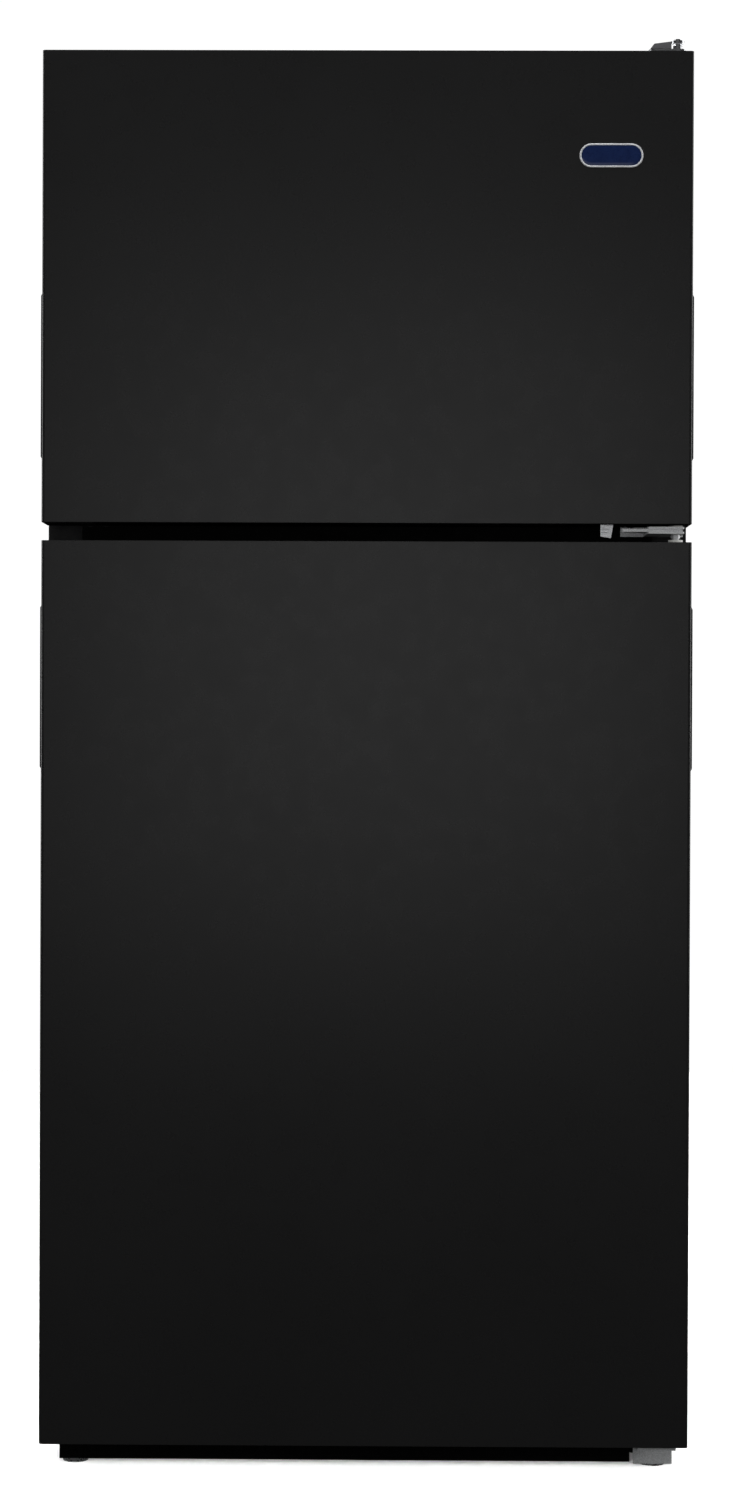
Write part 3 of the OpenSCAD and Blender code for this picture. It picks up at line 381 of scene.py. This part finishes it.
def round_rect(x, y, radius, inset=0.0, steps=6):
    """Corner-rounded rectangle as (x, y) points, anticlockwise, drawn in from x and y by inset."""
    left, right = x[0] + inset, x[1] - inset
    bottom, top = y[0] + inset, y[1] - inset
    corners = [(right - radius, top - radius, 0), (left + radius, top - radius, 90),
               (left + radius, bottom + radius, 180), (right - radius, bottom + radius, 270)]
    points = []
    for cx, cy, start in corners:
        for i in range(steps + 1):
            a = math.radians(start + 90 * i / steps)
            points.append((cx + radius * math.cos(a), cy + radius * math.sin(a)))
    return points


def join_loops(bm, a, b):
    """A band of faces between two loops of points."""
    count = len(a)
    for i in range(count):
        j = (i + 1) % count
        bm.faces.new((a[i], a[j], b[j], b[i]))


def skin_loops(bm, loops, cap_start=True, cap_end=True):
    """Faces between successive loops of points, with the first and last loop capped or left open."""
    rows = [[bm.verts.new(p) for p in loop] for loop in loops]
    for a, b in zip(rows, rows[1:]):
        join_loops(bm, a, b)
    if cap_start:
        bm.faces.new(rows[0][::-1])
    if cap_end:
        bm.faces.new(rows[-1])


def tray_into(bm, x, y, z, front_h, back_h, wall, radius):
    """Open-topped tray with round corners, a curved base edge and a rolled rim."""
    def rim(inset, below):
        pts = round_rect(x, y, max(radius - inset, 0.001), inset)
        slope = (back_h - front_h) / (y[1] - y[0])
        return [(px, py, z + front_h + slope * (y[1] - py) - below) for px, py in pts]

    def level(inset, above):
        pts = round_rect(x, y, max(radius - inset, 0.001), inset)
        return [(px, py, z + above) for px, py in pts]

    soft = min(radius * 0.5, 0.006)
    loops = [level(soft, 0.0), level(soft * 0.3, soft * 0.3), level(0.0, soft)]
    loops += [rim(0.0, 0.006), rim(0.0, 0.005), rim(0.0, 0.001)]
    loops += [rim(0.001, 0.0), rim(wall * 0.7, 0.0), rim(wall, 0.001)]
    loops += [level(wall, wall + soft), level(wall + soft * 0.3, wall + soft * 0.3)]
    loops += [level(wall + soft, wall)]
    skin_loops(bm, loops)


def ring_sweep(name, profile, x, z, radius, y0):
    """A closed profile of (inward, depth) points swept round an upright rounded rectangle."""
    bm = bmesh.new()
    rows = []
    for inward, depth in profile:
        loop = round_rect(x, z, max(radius - inward, 0.0005), inward)
        rows.append([bm.verts.new((px, y0 + depth, pz)) for px, pz in loop])
    for a, b in zip(rows, rows[1:] + rows[:1]):
        join_loops(bm, a, b)
    return new_object(name, bm)


def smooth(obj, angle):
    """Smooth shading across edges blunter than the angle, in degrees."""
    bm = bmesh.new()
    bm.from_mesh(obj.data)
    for edge in bm.edges:
        edge.smooth = edge.calc_face_angle(0.0) < math.radians(angle)
    for face in bm.faces:
        face.smooth = True
    bm.to_mesh(obj.data)
    bm.free()


def loose_boxes(node):
    """(lowest corner, highest corner) of each separate solid in a node, lowest first."""
    bm = bmesh.new()
    bm.from_mesh(frame["nodes"][node].data)
    bmesh.ops.remove_doubles(bm, verts=bm.verts, dist=WELD)
    left = set(bm.verts)
    found = []
    while left:
        stack = [left.pop()]
        island = list(stack)
        while stack:
            for edge in stack.pop().link_edges:
                for vert in edge.verts:
                    if vert in left:
                        left.discard(vert)
                        stack.append(vert)
                        island.append(vert)
        co = [v.co for v in island]
        found.append((Vector([min(c[i] for c in co) for i in range(3)]),
                      Vector([max(c[i] for c in co) for i in range(3)])))
    bm.free()
    return sorted(found, key=lambda pair: pair[0].z)


# ---------------------------------------------------------------- carried-over nodes

# Width of the rounding on the edges of each node that keeps its CAD shape.
BEVELS = {
    "cabinet_wrapper": 0.0009, "mullion_rail": 0.0006, "bottom_pan": 0.0005, "base_frame": 0.0006,
    "top_hinge": 0.0006, "top_hinge_cover": 0.0008, "center_hinge": 0.0005,
    "bottom_hinge": 0.0007, "hinge_screws": 0.0004, "hinge_hole_plugs": 0.0005,
    "defrost_heater": 0.0003, "fan_motors": 0.0012, "freezer_shelf": 0.0010, "control_housing": 0.0030,
    "led_light": 0.0012, "shelf_frames": 0.0014, "shelf_glass": 0.0007, "compressor": 0.0016,
    "cord_gland": 0.0008, "freezer_door_skin": 0.0008,
    "freezer_door_caps": 0.0015, "freezer_door_grips": 0.0012, "freezer_door_stop": 0.0004,
    "freezer_door_bushings": 0.0004, "fridge_door_skin": 0.0008, "fridge_door_caps": 0.0015,
    "fridge_door_grips": 0.0012, "fridge_door_bushings": 0.0004, "dairy_lid": 0.0006,
    "humidity_slider": 0.0006, "fridge_control_knob": 0.0010, "freezer_control_knob": 0.0010,
    "light_switch": 0.0006, "rear_roller_left": 0.0010, "rear_roller_right": 0.0010,
    "leveling_leg_left": 0.0005, "leveling_leg_right": 0.0005, "evaporator_fan": 0.0005,
    "condenser_fan": 0.0005, "freezer_door_foam": 0.0050, "fridge_door_foam": 0.0050,
}
# Pierced sheets and coils, whose edges are too close together to be rounded.
PLAIN_NODES = ["cabinet_foam", "evaporator_coil", "condenser_coil", "evaporator_cover", "toe_grille",
               "machine_room_cover"]


def carry_over():
    """The nodes that keep their CAD shape, with rounded edges where they can have them."""
    for node, width in BEVELS.items():
        refined(node, width)
    for node in PLAIN_NODES:
        obj = frame["nodes"][node]
        obj.data.materials.clear()
        obj.data.materials.append(MATERIALS[NODE_MATERIAL[node]])


# ---------------------------------------------------------------- doors

GASKET_CORNER = 0.012
LINER_SHEET = 0.002     # thickness of a door liner's flat border
SINK = 0.0005           # how far a pressed shape starts below the sheet it rises from
DYKE_WIDTH = 0.026
TRAY_WALL = 0.0025


def gasket(door):
    """Magnetic gasket: base, bellows and the flat magnet pocket, swept round the door."""
    low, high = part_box(door + "_gasket")
    deep = high.y - low.y
    profile = [(0.0015, 0.0), (0.0, deep * 0.30), (0.0030, deep * 0.42), (0.0008, deep * 0.58),
               (0.0, deep * 0.72), (0.0010, deep * 0.96), (0.0030, deep), (0.0125, deep),
               (0.0150, deep * 0.95), (0.0160, deep * 0.72), (0.0120, deep * 0.60),
               (0.0150, deep * 0.42), (0.0185, deep * 0.26), (0.0190, 0.0)]
    x, z = (low.x, high.x), (low.z, high.z)
    obj = ring_sweep(door + "_gasket_piece", profile, x, z, GASKET_CORNER, low.y)
    smooth(obj, 50.0)
    finish_piece(obj, door + "_gasket")


def dyke_sides(door):
    """Outer sides of the raised ring, in X and Z, read from the liner's own points."""
    mesh = frame["nodes"][door + "_liner"].data
    above_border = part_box(door + "_liner")[0].y + LINER_SHEET + 0.001
    raised = [v.co for v in mesh.vertices if v.co.y > above_border]
    return ((min(v.x for v in raised), max(v.x for v in raised)),
            (min(v.z for v in raised), max(v.z for v in raised)))


def door_liner(door):
    """Vacuum-formed liner: flat border, raised ring with soft edges and a shallow pressed panel."""
    low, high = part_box(door + "_liner")
    plane = low.y + LINER_SHEET
    bm = bmesh.new()
    box_into(bm, (low.x, low.y, low.z), (high.x, plane, high.z))

    ring_x, ring_z = dyke_sides(door)
    rise = high.y - plane + SINK
    edge = ((0.0, 0.0), (0.0008, 0.006), (0.0010, rise - 0.0050), (0.0018, rise - 0.0022),
            (0.0035, rise - 0.0006), (0.0060, rise))
    loops = []
    for inset, depth in edge + tuple((DYKE_WIDTH - inset, depth) for inset, depth in reversed(edge)):
        pts = round_rect(ring_x, ring_z, max(0.014 - inset, 0.005), inset)
        loops.append([(px, plane - SINK + depth, pz) for px, pz in pts])
    skin_loops(bm, loops, cap_start=False, cap_end=False)

    margin = DYKE_WIDTH + 0.02
    loops = []
    for inset, depth in ((0.0, -SINK), (0.002, 0.0018), (0.006, 0.0026)):
        pts = round_rect(ring_x, ring_z, 0.02 - inset, margin + inset)
        loops.append([(px, plane + depth, pz) for px, pz in pts])
    skin_loops(bm, loops, cap_start=False)

    obj = new_object(door + "_liner_piece", bm)
    smooth(obj, 40.0)
    finish_piece(obj, door + "_liner")


def bins(door):
    """Clear door bins with rolled rims, on the CAD bins' places; the dairy box is drawn as one of them."""
    node = door + "_bins"
    bm = bmesh.new()
    for low, high in loose_boxes(node):
        tall = high.z - low.z
        front_tall = tall - (0.020 if tall > 0.13 else 0.015)
        tray_into(bm, (low.x, high.x), (low.y, high.y), low.z, front_tall, tall, TRAY_WALL, 0.012)
        rail_z = low.z + front_tall * 0.55
        box_into(bm, (low.x + 0.02, high.y - 0.0026, rail_z),
                 (high.x - 0.02, high.y - 0.0002, rail_z + 0.004))
    obj = new_object(node + "_piece", bm)
    smooth(obj, 40.0)
    finish_piece(obj, node)


def badge():
    """Blank badge plate with round ends: bright rolled rim and an enamel field."""
    low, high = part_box("badge")
    deep = high.y - low.y
    radius = (high.z - low.z) / 2 - 0.0001

    def turned_plate(name, stages):
        loops = []
        for inset, height in stages:
            pts = round_rect((low.x, high.x), (low.z, high.z), radius - inset, inset, steps=12)
            loops.append([(px, high.y - height, pz) for px, pz in pts])
        bm = bmesh.new()
        skin_loops(bm, loops)
        obj = new_object(name, bm)
        smooth(obj, 50.0)
        return obj

    rim = turned_plate("badge_rim_piece", [
        (0.0, 0.0), (0.0, deep * 0.5), (0.0006, deep * 0.88),
        (0.0013, deep), (0.0019, deep * 0.88), (0.0024, deep * 0.45)])
    finish_piece(rim, "badge")
    field = turned_plate("badge_field_piece", [
        (0.0022, deep * 0.2), (0.0023, deep * 0.62), (0.0030, deep * 0.70), (0.0060, deep * 0.76)])
    finish_piece(field, "badge", material="badge_field", replaced=False)


# ---------------------------------------------------------------- liners and drawers

WALL = 0.002            # thickness of a cabinet liner
LEDGE = 0.008           # reach and height of a shelf ledge
CRISPER_RIBS = 9
DIAL_MARKS = 7


def formed_liner(node, outline, x_half, front, ledges):
    """Vacuum-formed cup from a side outline of (y, z) points, open at the front, with ledges inside."""
    bm = bmesh.new()
    skin_loops(bm, [[(x, y, z) for y, z in outline] for x in (-x_half, x_half)])
    bmesh.ops.recalc_face_normals(bm, faces=bm.faces)
    inner = [e for e in bm.edges if max(v.co.y for v in e.verts) > front + 1e-6]
    bmesh.ops.bevel(bm, geom=inner, offset=0.014, segments=6, profile=0.5, affect="EDGES")
    open_faces = [f for f in bm.faces if all(abs(v.co.y - front) < 1e-5 for v in f.verts)]
    bmesh.ops.delete(bm, geom=open_faces, context="FACES")
    for face in bm.faces:
        face.normal_flip()
    obj = new_object(node + "_piece", bm)
    shell = obj.modifiers.new("wall", "SOLIDIFY")
    shell.thickness = WALL - 0.0001
    shell.offset = 1.0
    apply_modifiers(obj)

    bm = bmesh.new()
    bm.from_mesh(obj.data)
    for (x0, x1), (y0, y1), (z0, z1) in ledges:
        verts = box_into(bm, (x0, y0, z0), (x1, y1, z1))
        edges = {e for v in verts for e in v.link_edges}
        bmesh.ops.bevel(bm, geom=list(edges), offset=0.0025, segments=3, profile=0.5, affect="EDGES")
    bmesh.ops.recalc_face_normals(bm, faces=bm.faces)
    bm.to_mesh(obj.data)
    bm.free()
    smooth(obj, 35.0)
    finish_piece(obj, node)


def side_ledges(x_inner, y, z_top):
    """A ledge on each side wall, as sides in X, Y and Z."""
    z = (z_top - LEDGE, z_top)
    return [((-x_inner - 0.001, -x_inner + LEDGE), y, z), ((x_inner - LEDGE, x_inner + 0.001), y, z)]


def fridge_liner():
    """Fresh food liner, stepped over the machine room, with shelf ledges and a boss for the light switch."""
    low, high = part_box("fridge_liner")
    inner_x, floor_z, ceiling, rear = high.x - WALL, low.z + WALL, high.z - WALL, high.y - WALL
    rings = loose_boxes("shelf_frames")
    lowest_ring = rings[0]
    step_z = lowest_ring[0].z + 0.009 - WALL
    step_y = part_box("crisper_right")[1].y + 0.010 - WALL
    outline = [(low.y, floor_z), (step_y, floor_z), (step_y, step_z),
               (rear, step_z), (rear, ceiling), (low.y, ceiling)]
    ledges = []
    for ring in rings:
        rear_end = step_y if ring is lowest_ring else ring[1].y
        ledges += side_ledges(inner_x, (ring[0].y, rear_end), ring[1].z - 0.012)
    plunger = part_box("light_switch")
    mid_x = (plunger[0].x + plunger[1].x) / 2
    boss_y = (low.y + 0.005, low.y + 0.043)
    ledges.append(((mid_x - 0.012, mid_x + 0.012), boss_y, (ceiling - 0.018, ceiling)))
    formed_liner("fridge_liner", outline, inner_x, low.y, ledges)


def freezer_liner():
    """Freezer liner: a plain cup with ledges under the shelf and a flange down each side of its mouth."""
    low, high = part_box("freezer_liner")
    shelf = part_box("freezer_shelf")
    inner_x = high.x - 0.018
    floor_z, ceiling, rear = low.z + WALL, high.z - WALL, high.y - WALL
    outline = [(low.y, floor_z), (rear, floor_z), (rear, ceiling), (low.y, ceiling)]
    ledges = side_ledges(inner_x, (low.y + 0.16, shelf[1].y - 0.004), shelf[0].z)
    for side in (-1, 1):
        edge = sorted((side * inner_x, side * high.x))
        ledges.append((edge, (low.y, low.y + 0.0018), (low.z, high.z)))
    formed_liner("freezer_liner", outline, inner_x, low.y, ledges)


def crisper(side):
    """Clear drawer with a ribbed base, rolled rim and a full-width pull."""
    node = "crisper_" + side
    low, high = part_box(node)
    front = low.y + 0.006
    tall = high.z - low.z
    bm = bmesh.new()
    tray_into(bm, (low.x, high.x), (front, high.y), low.z, tall, tall, TRAY_WALL, 0.010)

    pitch = (high.x - low.x - 0.07) / (CRISPER_RIBS - 1)
    for i in range(CRISPER_RIBS):
        x = low.x + 0.035 + i * pitch
        box_into(bm, (x - 0.002, front + 0.02, low.z + 0.0024), (x + 0.002, high.y - 0.02, low.z + 0.0042))

    hook = [(front + 0.001, 0.008), (low.y + 0.001, 0.008), (low.y, 0.010), (low.y, 0.020),
            (low.y + 0.001, 0.022), (low.y + 0.0025, 0.021), (low.y + 0.0025, 0.0115),
            (front + 0.001, 0.0115)]
    ends = (low.x + 0.070, high.x - 0.070)
    skin_loops(bm, [[(x, y, high.z - below) for y, below in hook] for x in ends])

    obj = new_object(node + "_piece", bm)
    smooth(obj, 40.0)
    finish_piece(obj, node)


def drain_pan():
    """Shallow tray over the compressor, where the defrost water dries off."""
    low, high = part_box("drain_pan")
    tall = high.z - low.z
    bm = bmesh.new()
    tray_into(bm, (low.x, high.x), (low.y, high.y), low.z, tall, tall, 0.002, 0.008)
    obj = new_object("drain_pan_piece", bm)
    smooth(obj, 40.0)
    finish_piece(obj, "drain_pan")


def dial_marks():
    """Rising row of marks round each control knob, on the housing's front."""
    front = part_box("control_housing")[0].y + 0.013
    radius = 0.0215
    for name in ("fridge_control_knob", "freezer_control_knob"):
        low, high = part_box(name)
        centre_x, centre_z = (low.x + high.x) / 2, (low.z + high.z) / 2
        bm = bmesh.new()
        for i in range(DIAL_MARKS):
            a = math.radians(225 - 45 * i)
            tall = 0.0008 + 0.00022 * i
            at = (centre_x + radius * math.cos(a), front, centre_z + radius * math.sin(a))
            turn = Matrix.Rotation(-a, 4, "Y")
            matrix = Matrix.Translation(at) @ turn @ Matrix.Diagonal((0.003, 0.0004, 2 * tall, 1.0))
            bmesh.ops.create_cube(bm, size=1.0, matrix=matrix)
        obj = new_object(name + "_marks", bm)
        finish_piece(obj, "control_housing", material="scale_grey", replaced=False)


def toe_louvres():
    """Slanted blade that closes the view through the toe grille's slots, top edge at the back; in the
    grille's near-black it is painted shade behind the slots.
    """
    low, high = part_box("toe_grille")
    bm = bmesh.new()
    blade = [(low.y + 0.0004, low.z + 0.0054), (low.y + 0.0004, low.z + 0.0046),
             (high.y - 0.0008, high.z - 0.0054), (high.y - 0.0008, high.z - 0.0046)]
    skin_loops(bm, [[(x, y, z) for y, z in blade] for x in (low.x + 0.004, high.x - 0.004)])
    obj = new_object("toe_grille_louvres", bm)
    finish_piece(obj, "toe_grille", replaced=False)


# ---------------------------------------------------------------- back of the cabinet

BEADS = 9
BEAD_HALF = 0.016       # half the height of a stiffening bead
SCREW_SIDES = 24
SCREW_HEAD = 0.0030     # distance from a screw's axis to a corner of its head
SCREW_HEIGHT = 0.0014
SIDE_SCREWS = 8
TOP_GAPS = 5


def screw_ring(place, width, level, hexagonal):
    """Loop of points round a screw, width times as wide as its head."""
    loop = []
    for i in range(SCREW_SIDES):
        a = 2 * math.pi * i / SCREW_SIDES
        radius = SCREW_HEAD * width
        if hexagonal:
            radius *= math.cos(math.pi / 6) / math.cos((a % (math.pi / 3)) - math.pi / 6)
        loop.append(place @ Vector((radius * math.cos(a), radius * math.sin(a), level)))
    return loop


def screw_into(bm, at):
    """Hex washer head screw on the rear sheet: flange, head and a dished top, facing backwards."""
    turn = Vector((0, 0, 1)).rotation_difference(Vector((0, 1, 0))).to_matrix().to_4x4()
    place = Matrix.Translation(at) @ turn
    flange = ((1.55, 0.0), (1.5, 0.0007), (1.05, 0.0010))
    head = ((1.0, 0.0011), (1.0, SCREW_HEIGHT * 0.85), (0.9, SCREW_HEIGHT), (0.6, SCREW_HEIGHT),
            (0.5, SCREW_HEIGHT - 0.0005))
    loops = [screw_ring(place, width, level, hexagonal=False) for width, level in flange]
    loops += [screw_ring(place, width, level, hexagonal=True) for width, level in head]
    skin_loops(bm, loops)


def bead_into(bm, x, z, sheet):
    """Pressed stiffening bead across the rear sheet, at height z."""
    loops = []
    for inset, height in ((0.0, -0.0002), (0.004, 0.0006), (0.008, 0.0012), (0.011, 0.0015)):
        pts = round_rect(x, (z - BEAD_HALF, z + BEAD_HALF), BEAD_HALF - 0.0002 - inset, inset)
        loops.append([(px, sheet + height, pz) for px, pz in pts])
    skin_loops(bm, loops, cap_start=False)


def back_panel():
    """Rear sheet with pressed stiffening beads, cut out round the machine room cover."""
    low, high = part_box("back_panel")
    cover_low, cover_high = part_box("machine_room_cover")
    outer = high.y - 0.0015
    bm = bmesh.new()
    foot = cover_high.z + 0.001
    box_into(bm, (low.x, outer - 0.001, foot), (high.x, outer, high.z))
    for x_low, x_high in ((low.x, cover_low.x - 0.002), (cover_high.x + 0.002, high.x)):
        box_into(bm, (x_low, outer - 0.001, low.z), (x_high, outer, foot))
    pitch = (high.z - foot - 0.22) / (BEADS - 1)
    for i in range(BEADS):
        bead_into(bm, (low.x + 0.06, high.x - 0.06), foot + 0.11 + i * pitch, outer)
    obj = new_object("back_panel_piece", bm)
    smooth(obj, 40.0)
    finish_piece(obj, "back_panel")


def back_screws():
    """Screws down both sides and along the top of the rear sheet."""
    low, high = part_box("back_panel")
    outer = high.y - 0.0015
    bm = bmesh.new()
    side_pitch = (high.z - low.z - 0.1) / (SIDE_SCREWS - 1)
    for x in (low.x + 0.018, high.x - 0.018):
        for i in range(SIDE_SCREWS):
            screw_into(bm, (x, outer, low.z + 0.05 + i * side_pitch))
    top_pitch = (high.x - low.x - 0.036) / TOP_GAPS
    for i in range(1, TOP_GAPS):
        screw_into(bm, (low.x + 0.018 + i * top_pitch, outer, high.z - 0.02))
    obj = new_object("back_panel_screws", bm)
    smooth(obj, 35.0)
    finish_piece(obj, "back_panel", material="screw_zinc", replaced=False)


# ---------------------------------------------------------------- studio

# name, place, aim, size in metres, watts, and whether it shows in glossy reflections
SOFT_BOXES = [
    ("front_soft", (0.0, -4.2, 1.15), (0.0, -0.38, 1.02), (1.5, 1.5), 5.2, True),
    ("front_left_soft", (-3.2, -3.4, 1.2), (0.0, -0.3, 0.85), (1.2, 1.8), 58, False),
    ("front_right_soft", (3.2, -3.4, 1.2), (0.0, -0.3, 0.85), (1.2, 1.8), 58, False),
    ("overhead_fill", (0.0, -0.6, 3.4), (0.0, -0.6, 0.0), (6.0, 5.5), 300, False),
    ("overhead_sheen", (0.0, 1.0, 3.4), (0.0, 1.0, 0.0), (3.0, 2.4), 70, True),
    ("left_soft", (-3.6, 0.8, 1.6), (0.0, 0.2, 0.8), (1.4, 2.4), 40, True),
    ("right_soft", (3.6, 0.8, 1.6), (0.0, 0.2, 0.8), (1.4, 2.4), 40, True),
    ("back_soft", (0.6, 4.2, 1.7), (0.0, 0.3, 0.8), (1.8, 1.8), 60, True),
]
# name, place and watts of the lights that fall on the floor alone
FLOOR_WASHES = [
    ("floor_wash_low", (0.0, -3.6, 0.95), 520),
    ("floor_wash_high", (0.0, -2.6, 2.6), 200),
]
AMBIENT = 0.04
BACKDROP = 1.05
CAMERA_X = 0.040
CAMERA_Z = 0.883
CAMERA_DISTANCE = 3.6   # from just behind the front of the doors
CAMERA_TURN = (-0.607, -0.486, 0.225)   # yaw, pitch and roll in degrees
LENS = 74.38


def floor():
    """Round pale floor, lit to white; it neither shows in reflections nor throws light on the object."""
    bm = bmesh.new()
    bmesh.ops.create_circle(bm, cap_ends=True, segments=96, radius=3.4)
    obj = new_object("studio_floor", bm)
    obj.location = (0.0, 0.6, 0.0)
    s = Shader("studio_floor", (0.86, 0.86, 0.86), 0.85, specular=0.1)
    s.tint(s.noise(0.8), (0.855, 0.855, 0.855), (0.865, 0.865, 0.865))
    obj.data.materials.append(s.material)
    obj.visible_glossy = False
    obj.visible_diffuse = False
    return obj


def area_light(name, at, towards, size, power, glossy):
    """Rectangular soft light at a place, facing a point."""
    lamp = bpy.data.lights.new(name, "AREA")
    lamp.shape = "RECTANGLE"
    lamp.size, lamp.size_y = size
    lamp.energy = power
    obj = bpy.data.objects.new(name, lamp)
    obj.location = at
    obj.rotation_euler = (Vector(towards) - Vector(at)).to_track_quat("-Z", "Y").to_euler()
    obj.visible_glossy = glossy
    bpy.context.scene.collection.objects.link(obj)
    return obj


def floor_washes(ground):
    """Lights that fall on the floor alone."""
    floor_only = bpy.data.collections.new("floor_only")
    floor_only.objects.link(ground)
    for name, at, power in FLOOR_WASHES:
        wash = area_light(name, at, (0.0, -0.4, 0.0), (2.4, 1.5), power, glossy=False)
        wash.light_linking.receiver_collection = floor_only


def cabinet_lamp():
    """Light below the lamp lens, for the views with the door open."""
    lens_low, lens_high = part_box("led_light")
    middle = (lens_low + lens_high) / 2
    at = (middle.x, middle.y, lens_low.z - 0.001)
    area_light("cabinet_lamp", at, (middle.x, middle.y - 0.05, 0.0), (0.08, 0.06), 1.3, glossy=True)


def studio_world():
    """White behind the object for the camera, and dim for everything else."""
    world = bpy.data.worlds.new("studio_world")
    bpy.context.scene.world = world
    world.use_nodes = True
    tree = world.node_tree
    background = tree.nodes["Background"]
    background.inputs["Color"].default_value = (1.0, 1.0, 1.0, 1.0)
    rays = tree.nodes.new("ShaderNodeLightPath")
    strength = tree.nodes.new("ShaderNodeMapRange")
    strength.inputs["To Min"].default_value = AMBIENT
    strength.inputs["To Max"].default_value = BACKDROP
    tree.links.new(rays.outputs["Is Camera Ray"], strength.inputs["Value"])
    tree.links.new(strength.outputs["Result"], background.inputs["Strength"])
    bpy.context.scene.view_settings.view_transform = "Standard"


def studio():
    """Soft boxes on every side and overhead, a floor with its own washes, and a white backdrop."""
    ground = floor()
    for name, at, towards, size, power, glossy in SOFT_BOXES:
        area_light(name, at, towards, size, power, glossy)
    floor_washes(ground)
    cabinet_lamp()
    studio_world()


def camera():
    """Camera far in front, just above the middle of the lower door, with a long lens."""
    data = bpy.data.cameras.new("camera")
    obj = bpy.data.objects.new("camera", data)
    obj.location = (CAMERA_X, CAD_BOX[0][1] + 0.002 - CAMERA_DISTANCE, CAMERA_Z)
    yaw, pitch, roll = (math.radians(a) for a in CAMERA_TURN)
    aim = Matrix.Rotation(-yaw, 4, "Z") @ Matrix.Rotation(math.pi / 2 + pitch, 4, "X")
    obj.rotation_euler = (aim @ Matrix.Rotation(roll, 4, "Z")).to_euler()
    data.sensor_width = 36.0
    data.lens = LENS
    data.clip_end = 100.0
    bpy.context.scene.collection.objects.link(obj)
    bpy.context.scene.camera = obj


camera()
carry_over()
for door_name in ("freezer_door", "fridge_door"):
    gasket(door_name)
    door_liner(door_name)
    bins(door_name)
badge()
fridge_liner()
freezer_liner()
crisper("left")
crisper("right")
drain_pan()
dial_marks()
back_panel()
back_screws()
toe_louvres()
studio()
